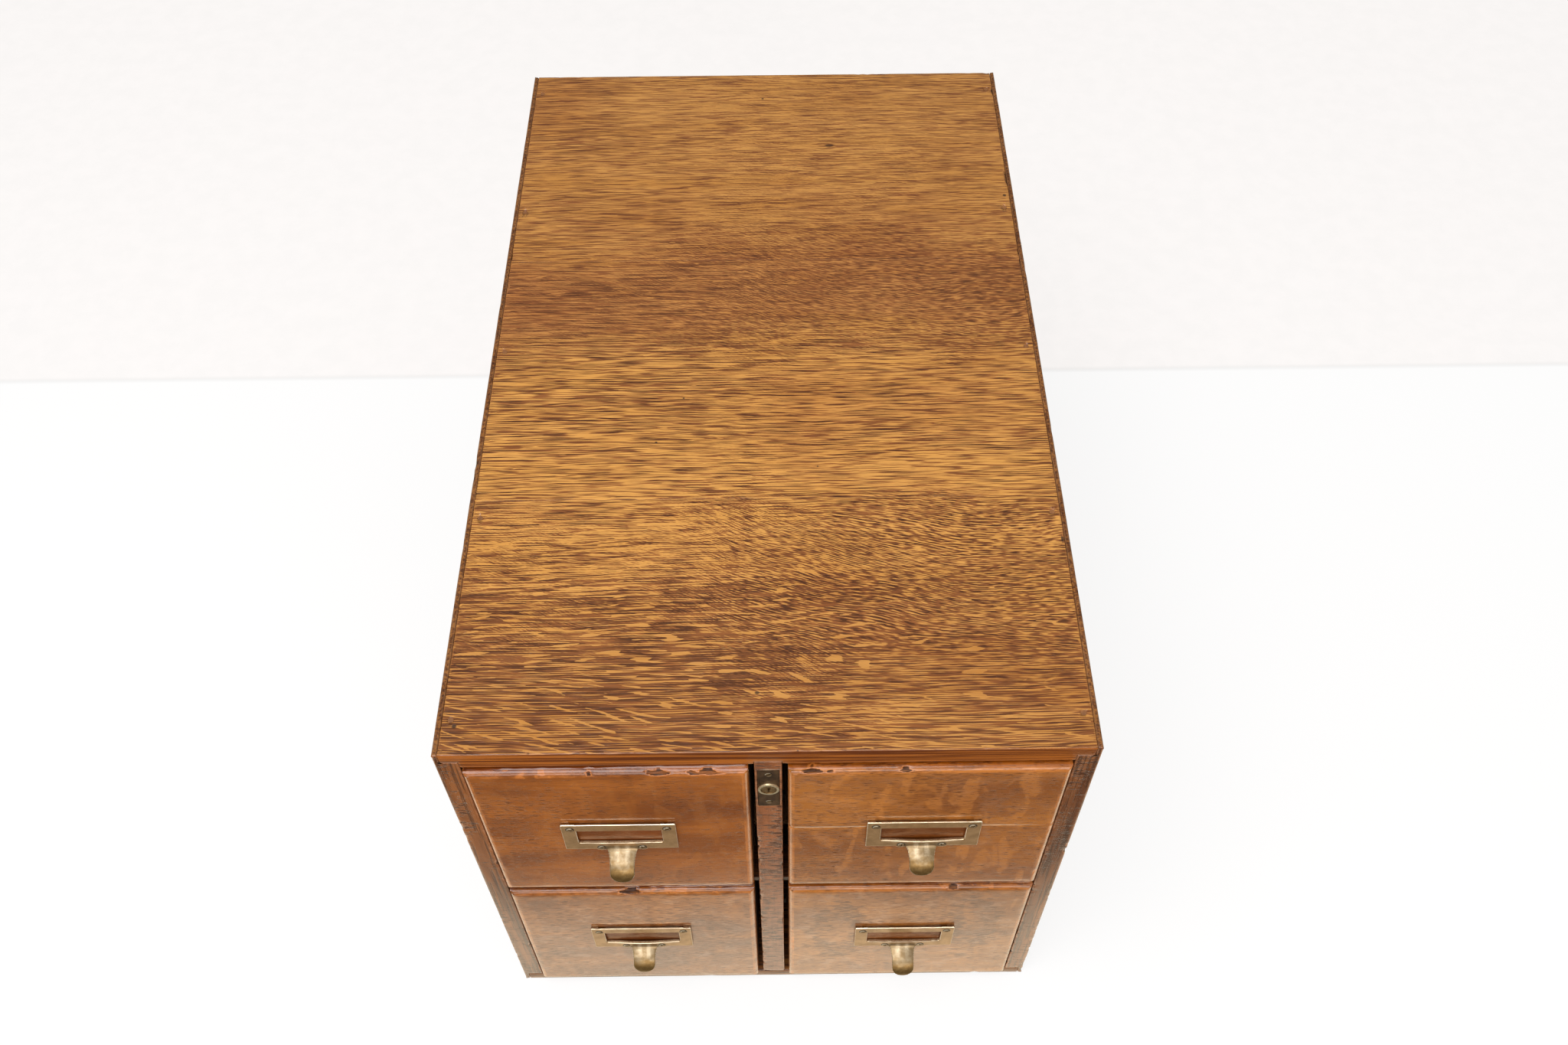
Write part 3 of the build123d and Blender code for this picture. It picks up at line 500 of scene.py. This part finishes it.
def aged_metal(name, base, bright, grime, rough, metallic):
    """Aged metal with patches of grime and fine scratches."""
    g = Graph(name)
    x, y, z = g.axes("xyz")
    cloud = streak(g, x, y, z, 150, 150, 4.0, 0.65)
    grit = streak(g, x, y, z, 900, 900, 3.0, 0.7)
    scratch = streak(g, x, y, z, 1600, 260, 2.0, 0.6)
    colour = g.mix(g.rise(cloud, 0.35, 0.68), base, grime)
    colour = g.mix(g.rise(grit, 0.58, 0.75, 0.0, 0.5), colour, grime)
    edge = g.rise(g.add(g.attribute("wear"), g.centred(grit, 0.8)), 0.35, 0.8)
    colour = g.mix(g.times(edge, 0.8), colour, bright)
    height = g.add(g.times(cloud, 0.8), g.add(g.times(grit, 0.5), g.times(g.rise(scratch, 0.6, 0.7), -0.3)))
    roughness = g.add(rough, g.add(g.times(cloud, 0.14), g.times(edge, -0.10)))
    return g.surface(Base_Color=colour, Metallic=metallic, Roughness=roughness,
                     Normal=g.bump(height, 0.04 * MM))


def pull_brass():
    """Satin brass of the pulls: dull plate, upper edges lightened as a painted highlight, tongue rubbed and lit
    by painted highlights near its root and darkened by patina and painted shade towards its tip.
    """
    g = Graph("brass_pull")
    x, y, z = g.axes("xyz")
    wear, hood, drop = g.attribute("wear"), g.attribute("hood"), g.attribute("drop")
    cloud = streak(g, x, y, z, 130, 130, 4.0, 0.65)
    grit = streak(g, x, y, z, 850, 850, 3.0, 0.7)
    fleck = streak(g, x, y, z, 330, 330, 2.0, 0.6)
    plate = g.mix(g.rise(cloud, 0.3, 0.7), srgb(184, 144, 98), srgb(158, 120, 76))
    plate = g.mix(g.rise(grit, 0.56, 0.72, 0.0, 0.4), plate, srgb(112, 88, 60))
    # the tongue's root: rubbed lighter, and also lightened as a painted highlight
    root = g.mix(g.rise(fleck, 0.40, 0.70, 0.0, 0.4), srgb(134, 112, 80), srgb(176, 160, 134))
    across = g.math("ABSOLUTE", g.attribute("across"))
    # painted highlights: two soft upright streaks on the ridges near the tongue's root
    ridge_highlight = g.times(g.rise(across, 0.12, 0.32), g.rise(across, 0.66, 0.42))
    ridge_highlight = g.product(ridge_highlight, g.rise(drop, 0.62, 0.30), g.rise(grit, 0.68, 0.48, 0.3, 1.0))
    root = g.mix(g.times(ridge_highlight, 0.55), root, srgb(216, 202, 176))
    # the tongue's tip: olive patina, darkened further as painted shade for the dark it reflects
    tip = g.mix(g.rise(fleck, 0.40, 0.70), srgb(126, 96, 52), srgb(144, 114, 68))
    tip = g.mix(g.rise(grit, 0.5, 0.7, 0.0, 0.6), tip, srgb(104, 76, 42))
    blend = g.rise(g.add(drop, g.centred(cloud, 0.5)), 0.45, 0.68)
    colour = g.mix(hood, plate, g.mix(blend, root, tip))
    up = g.facing()[2]
    # painted highlight: faces turned up, off the tongue, are lightened as lit from above
    upper = g.times(g.rise(up, 0.55, 0.9), g.take(1.0, hood))
    colour = g.mix(g.times(upper, g.rise(grit, 0.62, 0.50, 0.2, 0.8)), colour, srgb(206, 188, 156))
    # convex edges lightened: partly rubbed wear, partly a painted highlight where thin edges catch the light
    edge = g.rise(g.add(wear, g.centred(grit, 0.5)), 0.24, 0.5)
    colour = g.mix(g.times(edge, 0.8), colour, srgb(240, 228, 204))
    colour = g.mix(g.rise(wear, -0.15, -0.6, 0.0, 0.7), colour, srgb(92, 70, 44))
    colour = g.mix(g.rise(g.attribute("ring"), 0.3, 0.8, 0.0, 0.85), colour, srgb(62, 46, 30))
    # painted shade and grime in the hollows, by ambient occlusion
    colour = g.grime(colour, 1.2 * MM, 0.7, 0.2, 0.9, srgb(58, 42, 28))
    height = g.add(g.times(cloud, 0.9), g.times(grit, 0.5))
    rough = g.add(0.30, g.add(g.times(cloud, 0.16), g.times(upper, -0.06)))
    metallic = g.add(0.55, g.add(g.times(hood, 0.15), g.times(upper, 0.45)))
    return g.surface(Base_Color=colour, Metallic=metallic, Roughness=rough,
                     Normal=g.bump(height, 0.05 * MM))


def screw_brass():
    """Slotted brass screws: a dark band at the edge of each head, hollows darkened as painted shade and grime,
    and a painted highlight as a light crescent inside its upper edge.
    """
    g = Graph("brass_screw")
    x, y, z = g.axes("xyz")
    side = g.take(x, g.attribute("middle_x"))
    rise = g.take(z, g.attribute("middle_z"))
    far = g.length(side, rise)
    far = g.math("DIVIDE", far, g.attribute("radius"))
    tilt = g.math("DIVIDE", g.add(rise, g.times(side, -0.5)), g.attribute("radius"))
    grit = streak(g, x, y, z, 900, 900, 3.0, 0.7)
    colour = g.mix(g.rise(grit, 0.35, 0.65), srgb(158, 126, 84), srgb(118, 92, 60))
    # painted highlight: a light crescent inside the upper left edge of each head
    crescent = g.times(g.rise(far, 0.5, 0.7), g.rise(tilt, 0.1, 0.55))
    colour = g.mix(g.times(crescent, 0.8), colour, srgb(232, 218, 190))
    colour = g.mix(g.rise(far, 0.80, 0.93, 0.0, 0.9), colour, srgb(56, 40, 26))
    # painted shade and grime in the slot and hollows, by ambient occlusion
    colour = g.grime(colour, 0.9 * MM, 0.8, 0.3, 0.95, srgb(42, 30, 20))
    return g.surface(Base_Color=colour, Metallic=0.7, Roughness=g.add(0.34, g.times(grit, 0.12)),
                     Normal=g.bump(grit, 0.03 * MM))


def lock_brass():
    """Brass of the lock: a painted highlight as a bright rim round the plug, worn and dull elsewhere."""
    g = Graph("brass_lock")
    x, y, z = g.axes("xyz")
    low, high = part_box("lock_plug")
    rise = g.take(z, (low.z + high.z) / 2)
    far = g.length(x, rise)
    far = g.math("DIVIDE", far, (high.x - low.x) / 2)
    grit = streak(g, x, y, z, 900, 900, 3.0, 0.7)
    colour = g.mix(g.rise(grit, 0.35, 0.65), srgb(176, 140, 92), srgb(126, 98, 62))
    # painted highlight: a bright ring just outside the plug
    rim = g.times(g.rise(far, 1.05, 1.15), g.rise(grit, 0.7, 0.5, 0.4, 1.0))
    colour = g.mix(g.times(rim, 0.9), colour, srgb(240, 222, 180))
    # painted shade and grime in the keyhole and hollows, by ambient occlusion
    colour = g.grime(colour, 1.0 * MM, 0.75, 0.3, 0.95, srgb(40, 28, 18))
    return g.surface(Base_Color=colour, Metallic=0.75, Roughness=g.add(0.28, g.times(grit, 0.12)),
                     Normal=g.bump(grit, 0.03 * MM))


materials = {
    "top": top_oak(),
    "side": case_oak("oak_side", "zyx"),
    "plain_x": case_oak("oak_plain_x", "xyz"),
    "plain_z": case_oak("oak_plain_z", "zxy"),
    # the rails, seen in the gaps beside the drawers, get painted shade
    "rail": case_oak("oak_rail_shaded", "xyz", srgb(130, 116, 104)),
    "upper_left": front_wood("upper_left", srgb(162, 92, 32), srgb(122, 64, 22), 0.12, 0.02, 0.0),
    "upper_right": front_wood("upper_right", srgb(176, 108, 42), srgb(134, 76, 30), 0.34, 0.04, 0.05),
    "lower_left": front_wood("lower_left", srgb(164, 98, 36), srgb(120, 66, 26), 0.12, 0.08, 0.13),
    "lower_right": front_wood("lower_right", srgb(168, 104, 40), srgb(126, 72, 28), 0.20, 0.04, 0.13,
                              rings=((0.048, 0.105, 0.017, 0.048), (0.148, 0.115, 0.017, 0.050))),
    "edge": edge_wood("oak_edge", 0.0, 0.09),
    "stile": edge_wood("oak_stile", 0.5, 0.14),
    "bare_y": bare_wood("bare_y", "yzx", srgb(190, 148, 98), srgb(158, 112, 66)),
    "bare_x": bare_wood("bare_x", "xzy", srgb(190, 148, 98), srgb(158, 112, 66)),
    "bottom": bare_wood("bare_bottom", "xyz", srgb(196, 158, 110), srgb(166, 124, 78)),
    "runner": bare_wood("bare_runner", "yzx", srgb(158, 112, 68), srgb(128, 86, 48)),
    "nail": aged_metal("nail", srgb(150, 98, 54), srgb(150, 100, 58), srgb(116, 74, 42), 0.5, 0.0),
    "brass": pull_brass(),
    "screw": screw_brass(),
    "collar": lock_brass(),
    "plate": aged_metal("bronze_plate", srgb(98, 70, 42), srgb(140, 112, 76), srgb(62, 42, 24), 0.42, 0.5),
    "steel": aged_metal("dark_steel", srgb(96, 90, 82), srgb(160, 154, 146), srgb(56, 48, 42), 0.45, 0.9),
}


# Mesh work

def finish_mesh(bm, name, material, body, stands_for, seed=0.0, sharp=35.0):
    """Turns a bmesh into a piece on its body that stands for a CAD node."""
    mesh = bpy.data.meshes.new(name)
    bm.to_mesh(mesh)
    bm.free()
    mesh.shade_smooth()
    mesh.set_sharp_from_angle(angle=math.radians(sharp))
    values = mesh.attributes.new("seed", "FLOAT", "POINT").data
    values.foreach_set("value", [seed] * len(mesh.vertices))
    piece = bpy.data.objects.new(name, mesh)
    bpy.context.scene.collection.objects.link(piece)
    for m in material if isinstance(material, list) else [material]:
        mesh.materials.append(m)
    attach(piece, body)
    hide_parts(*stands_for)
    return piece


def ease(value, low, high):
    """0 below low, 1 above high and smooth between them."""
    t = min(1.0, max(0.0, (value - low) / (high - low)))
    return t * t * (3 - 2 * t)


def squared(normal):
    """True for a direction along an axis."""
    return max(abs(normal.x), abs(normal.y), abs(normal.z)) > 0.9995


def lattice(bm, low, high, steps):
    """Cuts the mesh along evenly spaced planes; a step of 0 leaves that direction uncut."""
    for k, step in enumerate(steps):
        if not step:
            continue
        span = high[k] - low[k]
        margin = min(2.5 * MM, span / 4)
        count = max(1, round((span - 2 * margin) / step))
        across = Vector((0, 0, 0))
        across[k] = 1
        for j in range(count + 1):
            middle = across * (low[k] + margin + (span - 2 * margin) * j / count)
            geometry = bm.verts[:] + bm.edges[:] + bm.faces[:]
            bmesh.ops.bisect_plane(bm, geom=geometry, plane_co=middle, plane_no=across, dist=0.01 * MM)


def worn_board(node, steps, arris, nick, seed, seams=(), chips=(), rough_zone=None):
    """Copy of a CAD board, cut into a lattice, with rounded and chipped edges. Returns a bmesh.

    steps, arris and nick are the lattice, the rounding and the deepest chip, in millimetres. seams holds
    (axis, place) of glued faces, whose edges stay nearly sharp. chips holds (x, half length, depth) of larger
    chips in the upper front edge. rough_zone gives the chipping at a point, 1 by default.
    """
    steps, arris, nick = [step * MM for step in steps], arris * MM, nick * MM
    bm = bmesh.new()
    bm.from_mesh(nodes[node].data)
    bmesh.ops.remove_doubles(bm, verts=bm.verts, dist=WELD)
    bmesh.ops.dissolve_limit(bm, angle_limit=math.radians(0.3), verts=bm.verts, edges=bm.edges)
    low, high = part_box(node)
    lattice(bm, low, high, steps)
    wear = bm.verts.layers.float.new("wear")
    nicks = bm.verts.layers.float.new("nick")
    for face in bm.faces:
        if not squared(face.normal):
            for vertex in face.verts:
                vertex[wear] = 1.0

    def on_seam(place):
        return any(abs(place[axis] - at) < 0.3 * MM for axis, at in seams)

    outer, glued = [], []
    for edge in bm.edges:
        if not edge.is_manifold or not edge.is_convex or edge.calc_face_angle() < 1.0:
            continue
        if all(squared(face.normal) for face in edge.link_faces):
            held = all(on_seam(vertex.co) for vertex in edge.verts)
            (glued if held else outer).append(edge)
    for edges, width in ((outer, arris), (glued, 0.12 * MM)):
        edges = [e for e in edges if e.is_valid]
        if edges:
            made = bmesh.ops.bevel(bm, geom=edges, offset=width, offset_type="OFFSET", segments=2,
                                   profile=0.5, affect="EDGES", clamp_overlap=False)
            for vertex in made["verts"]:
                vertex[wear] = 0.0 if on_seam(vertex.co) or width < 0.2 * MM else 1.0
    bm.normal_update()
    shift = Vector((seed * 3.1, seed * 1.7, seed * 0.9))
    for vertex in bm.verts:
        if vertex[wear] < 0.5:
            continue
        place = vertex.co
        patch = ease(noise.noise(place * 16 + shift), 0.02, 0.4)
        small = 0.7 * noise.noise(place * 180 + shift) + 0.3 * noise.noise(place * 430 + shift)
        share = rough_zone(place) if rough_zone else 1.0
        cut = min(1.0, max(0.0, small - 0.10) * 2.6 * min(1.0, patch * share + max(0.0, share - 1.0)))
        for middle, half, deep in chips:
            far = ((place.x - middle) / half) ** 2 + ((place.z - high.z + CHIP_DROP) / CHIP_HALF) ** 2
            ragged = 0.9 * noise.noise(place * 160 + shift) + 0.4 * noise.noise(place * 400 + shift)
            cut = max(cut, ease(1 - far + ragged, 0.1, 0.7) * deep / nick)
        vertex[nicks] = min(1.0, cut * 1.3)
        waviness = 0.07 * MM * (1 + noise.noise(place * 45 + shift))
        vertex.co -= vertex.normal * (nick * cut + waviness)
    return bm


def casting(node, voxel):
    """Copy of a CAD casting, remeshed and smoothed so that its edges are soft. Returns a bmesh."""
    rough = bpy.data.objects.new("rough", nodes[node].data.copy())
    bpy.context.scene.collection.objects.link(rough)
    weld = rough.modifiers.new("weld", "WELD")
    weld.merge_threshold = WELD
    remesh = rough.modifiers.new("remesh", "REMESH")
    remesh.mode = "VOXEL"
    remesh.voxel_size = voxel
    smooth = rough.modifiers.new("smooth", "SMOOTH")
    smooth.factor = 0.5
    smooth.iterations = 3
    bpy.context.view_layer.update()
    shaped = rough.evaluated_get(bpy.context.evaluated_depsgraph_get()).to_mesh()
    bm = bmesh.new()
    bm.from_mesh(shaped)
    bpy.data.objects.remove(rough)
    return bm


def mark_wear(bm, gain):
    """Stores how much each vertex sticks out, from hollows below 0 to edges above 0."""
    wear = bm.verts.layers.float.new("wear")
    bm.normal_update()
    for vertex in bm.verts:
        total = 0.0
        for edge in vertex.link_edges:
            step = vertex.co - edge.other_vert(vertex).co
            total += vertex.normal.dot(step) / max(step.length, 1e-9)
        vertex[wear] = gain * total / max(1, len(vertex.link_edges))
    for _ in range(2):
        held = []
        for vertex in bm.verts:
            around = sum(edge.other_vert(vertex)[wear] for edge in vertex.link_edges)
            held.append(around / max(1, len(vertex.link_edges)))
        for vertex, mean in zip(bm.verts, held):
            vertex[wear] = 0.5 * vertex[wear] + 0.5 * mean


def screws_of(node):
    """Middle x, middle z and head radius of every screw in a CAD node."""
    groups = []
    for vertex in nodes[node].data.vertices:
        place = Vector((vertex.co.x, vertex.co.z))
        group = next((group for group in groups if (place - group[0]).length < 6 * MM), None)
        if group:
            group.append(place)
        else:
            groups.append([place])
    found = []
    for group in groups:
        left, right = min(p.x for p in group), max(p.x for p in group)
        low, high = min(p.y for p in group), max(p.y for p in group)
        found.append(((left + right) / 2, (low + high) / 2, (right - left) / 2))
    return found


def slotted_screws(node, name, body):
    """Copy of CAD screws that keeps the middle and radius of each screw for its material."""
    bm = bmesh.new()
    bm.from_mesh(nodes[node].data)
    bmesh.ops.remove_doubles(bm, verts=bm.verts, dist=WELD)
    layers = [bm.verts.layers.float.new(key) for key in ("middle_x", "middle_z", "radius")]
    places = screws_of(node)
    for vertex in bm.verts:
        own = min(places, key=lambda p: math.dist(p[:2], (vertex.co.x, vertex.co.z)))
        for layer, value in zip(layers, own):
            vertex[layer] = value
    piece = finish_mesh(bm, name, materials["screw"], body, [node])
    bevel = piece.modifiers.new("bevel", "BEVEL")
    bevel.width = 0.12 * MM
    bevel.segments = 2
    bevel.limit_method = "ANGLE"
    bevel.angle_limit = BEVEL_ANGLE


def label_pull(name, bow):
    """Worn brass pull of a drawer; bow is how far the middle of its lower bar stands forward."""
    node = f"{name}_pull"
    bm = casting(node, PULL_VOXEL)
    low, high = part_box(node)
    middle = (low.x + high.x) / 2
    half = (high.x - low.x) / 2
    y_plate, y_rim = high.y - PULL_PLATE, high.y - PULL_RIM
    z_bar = high.z - PULL_BAR
    hood = bm.verts.layers.float.new("hood")
    drop = bm.verts.layers.float.new("drop")
    across = bm.verts.layers.float.new("across")
    ring = bm.verts.layers.float.new("ring")
    screws = screws_of(f"{name}_pull_screws")
    for vertex in bm.verts:
        place = vertex.co
        ahead = ease(y_plate - place.y, 0.3 * MM, 2.2 * MM)
        beside = 1 - ease(abs(place.x - middle), 10.5 * MM, 12.5 * MM)
        below = 1 - ease(place.z, z_bar - 3 * MM, z_bar - 1 * MM)
        vertex[hood] = max(ahead, 0.8 * ease(z_bar - 4 * MM - place.z, 0, 3 * MM)) * beside * below
        vertex[drop] = (z_bar - place.z) / (z_bar - low.z)
        vertex[across] = (place.x - middle) / TONGUE_HALF
        past = min(math.dist((x, z), (place.x, place.z)) - radius for x, z, radius in screws)
        vertex[ring] = 1 - ease(past, 0.15 * MM, 0.75 * MM)
        span = max(0.0, 1 - ((place.x - middle) / BOW_HALF) ** 2)
        above = ease(place.z, z_bar + 3 * MM, z_bar + 4 * MM)
        level = ease(place.z, z_bar - 5 * MM, z_bar - 1.5 * MM) * (1 - above)
        vertex.co.y -= bow * span * span * level
        vertex.co.z += 0.12 * MM * noise.noise(place * 240)
        if place.z > high.z - 3 * MM:
            vertex.co.z -= 1.0 * MM * ease(place.y, y_rim - 0.2 * MM, y_rim)
        from_end = half - abs(place.x - middle)
        if from_end < 11 * MM:
            narrowed = 0.42 * ease(place.y, y_rim - 0.2 * MM, y_rim) * ease(place.z, z_bar, z_bar + 2 * MM)
            vertex.co.x += math.copysign(narrowed * from_end, place.x - middle)
    mark_wear(bm, 3.0)
    finish_mesh(bm, f"{name}_label_pull", materials["brass"], f"{name}_drawer", [node],
                sharp=60.0)


def soften(node, width, material):
    """Gives a CAD node rounded edges by modifiers, and its material."""
    piece = nodes[node]
    weld = piece.modifiers.new("weld", "WELD")
    weld.merge_threshold = WELD
    if width:
        bevel = piece.modifiers.new("bevel", "BEVEL")
        bevel.width = width
        bevel.segments = 2
        bevel.limit_method = "ANGLE"
        bevel.angle_limit = BEVEL_ANGLE
    piece.data.materials.clear()
    piece.data.materials.append(materials[material])


def at_front(bm, index):
    """Gives the faces at the front of the case another material index."""
    for face in bm.faces:
        if face.calc_center_median().y < y_front + 1.2 * MM:
            face.material_index = index


# Case boards. Of the top's three: lattice, rounding and deepest chip in millimetres, seeds of chips and figure
top_seams = ((1, seam_near), (1, seam_far))
for end, steps, arris, nick, seed, figure in (
        ("front", (2, 6, 4), 0.7, 0.55, 1.0, 0.0),
        ("middle", (5, 8, 4), 0.6, 0.5, 2.0, 0.13),
        ("rear", (4, 8, 4), 0.7, 0.7, 3.0, 0.29)):
    bm = worn_board(f"top_board_{end}", steps, arris, nick, seed, top_seams)
    finish_mesh(bm, f"top_plank_{end}", materials["top"], "case", [f"top_board_{end}"],
                seed=figure)


def side_roughness(place):
    """Chipping of the sides: mostly on the lower half of the front edges."""
    if place.y > y_front + 3 * MM:
        return 0.7
    return 0.8 + (0.9 if place.x > 0 else 0.35) * ease(place.z, 0.27, 0.16)


for name, seed in (("side_left", 4.0), ("side_right", 5.0)):
    bm = worn_board(name, (3, 6, 2.5), 0.8, 0.75, seed, rough_zone=side_roughness)
    at_front(bm, 1)
    finish_mesh(bm, name.replace("side", "flank"), [materials["side"], materials["edge"]], "case", [name],
                seed=0.4 + 0.31 * seed)


def stile_roughness(place):
    """Chipping of the stile: strong below the lock plate, most of all on its right."""
    if place.y > y_front + 3 * MM:
        return 0.5
    return 0.9 + (1.0 if place.x > 0 else 0.6) * ease(place.z, 0.33, 0.30)


bm = worn_board("center_partition", (2, 40, 2), 0.6, 1.3, 8.0, rough_zone=stile_roughness)
at_front(bm, 1)
finish_mesh(bm, "partition", [materials["plain_z"], materials["stile"]], "case", ["center_partition"],
            seed=1.2)
bm = worn_board("bottom_board", (4, 40, 0), 0.7, 0.7, 11.0)
finish_mesh(bm, "floor_board", materials["plain_x"], "case", ["bottom_board"], seed=0.7)

for name in ("front_rail_left", "front_rail_right"):
    soften(name, 0.5 * MM, "rail")
soften("back_panel", 0.5 * MM, "plain_z")
for name in ("outer_runners", "inner_runners", "drawer_stops"):
    soften(name, 0.6 * MM, "runner")
for name in ("lock_cam", "lock_bar", "bar_straps"):
    soften(name, 0.2 * MM, "steel")
for name in ("back_nails", "strap_screws"):
    soften(name, 0, "steel")
soften("case_nails", 0, "nail")
soften("lock_case", 0.25 * MM, "collar")
soften("lock_plug", 0.12 * MM, "collar")
slotted_screws("lock_screws", "lock_plate_screws", "case")
soften("lock_plate", 0.25 * MM, "plate")

# Drawers: chips in the upper edges as (x, half length, depth), and the bow of each pull's lower bar
front_chips = {
    "upper_left": ((-0.067, 0.007, 0.0009), (-0.037, 0.011, 0.0008), (-0.108, 0.003, 0.0006)),
    "upper_right": ((0.028, 0.012, 0.0005), (0.083, 0.004, 0.0005)),
    "lower_left": ((-0.100, 0.008, 0.0010),),
    "lower_right": ((0.128, 0.003, 0.0008),),
}
bar_bows = {"upper_left": 0.3 * MM, "upper_right": 1.3 * MM, "lower_left": 1.3 * MM, "lower_right": 0.7 * MM}


def front_roughness(place):
    """Chipping of the drawer fronts: little, and only in the upper edges."""
    return 0.9 if place.z % ROW_PITCH > UPPER_EDGE else 0.35


seam_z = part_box("upper_right_front_upper_board")[0].z
for k, name in enumerate(DRAWERS):
    body = f"{name}_drawer"
    boards = [f"{name}_front"]
    if name == "upper_right":
        boards.append("upper_right_front_upper_board")
    for j, node in enumerate(boards):
        top_one = j == len(boards) - 1
        bm = worn_board(node, (2, 4, 2.5), 0.4, 0.5, 15.0 + 2 * k + j, ((2, seam_z),),
                        front_chips[name] if top_one else (), front_roughness)
        finish_mesh(bm, node.replace("front", "face"), materials[name], body, [node],
                    seed=0.37 * k + 0.21 * j)
    for side in ("outer_side", "inner_side"):
        soften(f"{name}_{side}", 0.6 * MM, "bare_y")
    soften(f"{name}_back", 0.6 * MM, "bare_x")
    soften(f"{name}_bottom", 0.4 * MM, "bottom")
    soften(f"{name}_follower", 1.2 * MM, "bare_x")
    soften(f"{name}_follower_shoe", 0.3 * MM, "steel")
    slotted_screws(f"{name}_pull_screws", f"{name}_slotted_screws", body)
    label_pull(name, bar_bows[name])


# Floor, light and camera

def floor():
    """Pale floor that stays white to the camera and keeps a soft shadow."""
    g = Graph("floor")
    x, y, z = g.axes("xyz")
    path = g.node("LightPath").outputs
    plaster = g.noise(g.vector(g.times(x, 40), g.times(y, 40), 0), 4.0, 0.6)
    wall = g.mix(g.rise(plaster, 0.3, 0.7), (1.02, 0.99, 0.975, 1), (1.05, 1.015, 1.0, 1))
    # painted shade: a thin darker line where the wall would meet the floor
    line = g.times(g.rise(y, y_rear - 0.003, y_rear + 0.002), g.rise(y, y_rear + 0.008, y_rear + 0.002))
    pale = g.mix(g.rise(y, y_rear + 0.001, y_rear + 0.004), (1.05, 1.05, 1.05, 1), wall)
    pale = g.mix(g.times(line, 0.5), pale, (0.86, 0.85, 0.84, 1))
    diffuse = g.node("BsdfDiffuse", (0.86, 0.85, 0.84, 1)).outputs[0]
    shine = g.node("Emission", pale, 1.0).outputs[0]
    to_camera = g.node("MixShader", 0.76, diffuse, shine).outputs[0]
    ahead = g.times(g.take(y_front, y), 1000)
    near = g.node("MapRange", ahead, 30.0, 118.0, 1.35, 0.03, interpolation_type="SMOOTHSTEP").outputs[0]
    mirror = g.node("Emission", (1, 0.92, 0.70, 1), near).outputs[0]
    other = g.node("MixShader", path["Is Glossy Ray"], diffuse, mirror).outputs[0]
    final = g.node("MixShader", path["Is Camera Ray"], other, to_camera).outputs[0]
    out = g.node("OutputMaterial")
    g.tree.links.new(final, out.inputs["Surface"])
    half = 6.0
    corners = [(-half, -half, 0), (half, -half, 0), (half, half, 0), (-half, half, 0)]
    mesh = bpy.data.meshes.new("floor")
    mesh.from_pydata(corners, [], [(0, 1, 2, 3)])
    mesh.materials.append(g.material)
    piece = bpy.data.objects.new("floor", mesh)
    bpy.context.scene.collection.objects.link(piece)


def lamp(name, place, target, size, power):
    """Soft rectangular lamp."""
    light = bpy.data.lights.new(name, "AREA")
    light.shape = "RECTANGLE"
    light.size, light.size_y = size
    light.energy = power
    held = bpy.data.objects.new(name, light)
    held.location = place
    held.rotation_euler = (Vector(target) - Vector(place)).to_track_quat("-Z", "Y").to_euler()
    bpy.context.scene.collection.objects.link(held)


def room():
    """White surroundings: bright to the camera, and in reflections bright in front and dim behind."""
    world = bpy.data.worlds.new("room")
    bpy.context.scene.world = world
    g = Graph("room", world)
    path = g.node("LightPath").outputs
    split = g.node("SeparateXYZ", g.node("TexCoord").outputs["Generated"]).outputs
    dim = g.rise(split[1], -0.25, 0.35, 0.85, 0.22)
    seen = g.node("Background", (0.975, 0.955, 0.94, 1), 1.0).outputs[0]
    mirrored = g.node("Background", (1.0, 0.95, 0.84, 1), dim).outputs[0]
    around = g.node("Background", (1.0, 0.985, 0.965, 1), 0.55).outputs[0]
    other = g.node("MixShader", path["Is Glossy Ray"], around, mirrored).outputs[0]
    final = g.node("MixShader", path["Is Camera Ray"], other, seen).outputs[0]
    out = g.node("OutputWorld")
    g.tree.links.new(final, out.inputs[0])


floor()
room()
lamp("overhead", (-0.5, -0.9, 2.3), (0, -0.05, 0.3), (1.6, 1.4), 34)
lamp("front", (0.2, -2.6, 1.3), (0, -0.3, 0.25), (2.2, 1.0), 22)

focal_px, image_width, sensor = 1856.0, 2048.0, 36.0
camera_data = bpy.data.cameras.new("camera")
camera_data.sensor_width = sensor
camera_data.lens = focal_px / image_width * sensor
camera = bpy.data.objects.new("camera", camera_data)
camera.location = (0.0084, -0.7273, 1.1378)
camera.rotation_euler = [math.radians(a) for a in (36.93, 0.24, -0.65)]
bpy.context.scene.collection.objects.link(camera)
bpy.context.scene.camera = camera
bpy.context.scene.view_settings.view_transform = "Standard"
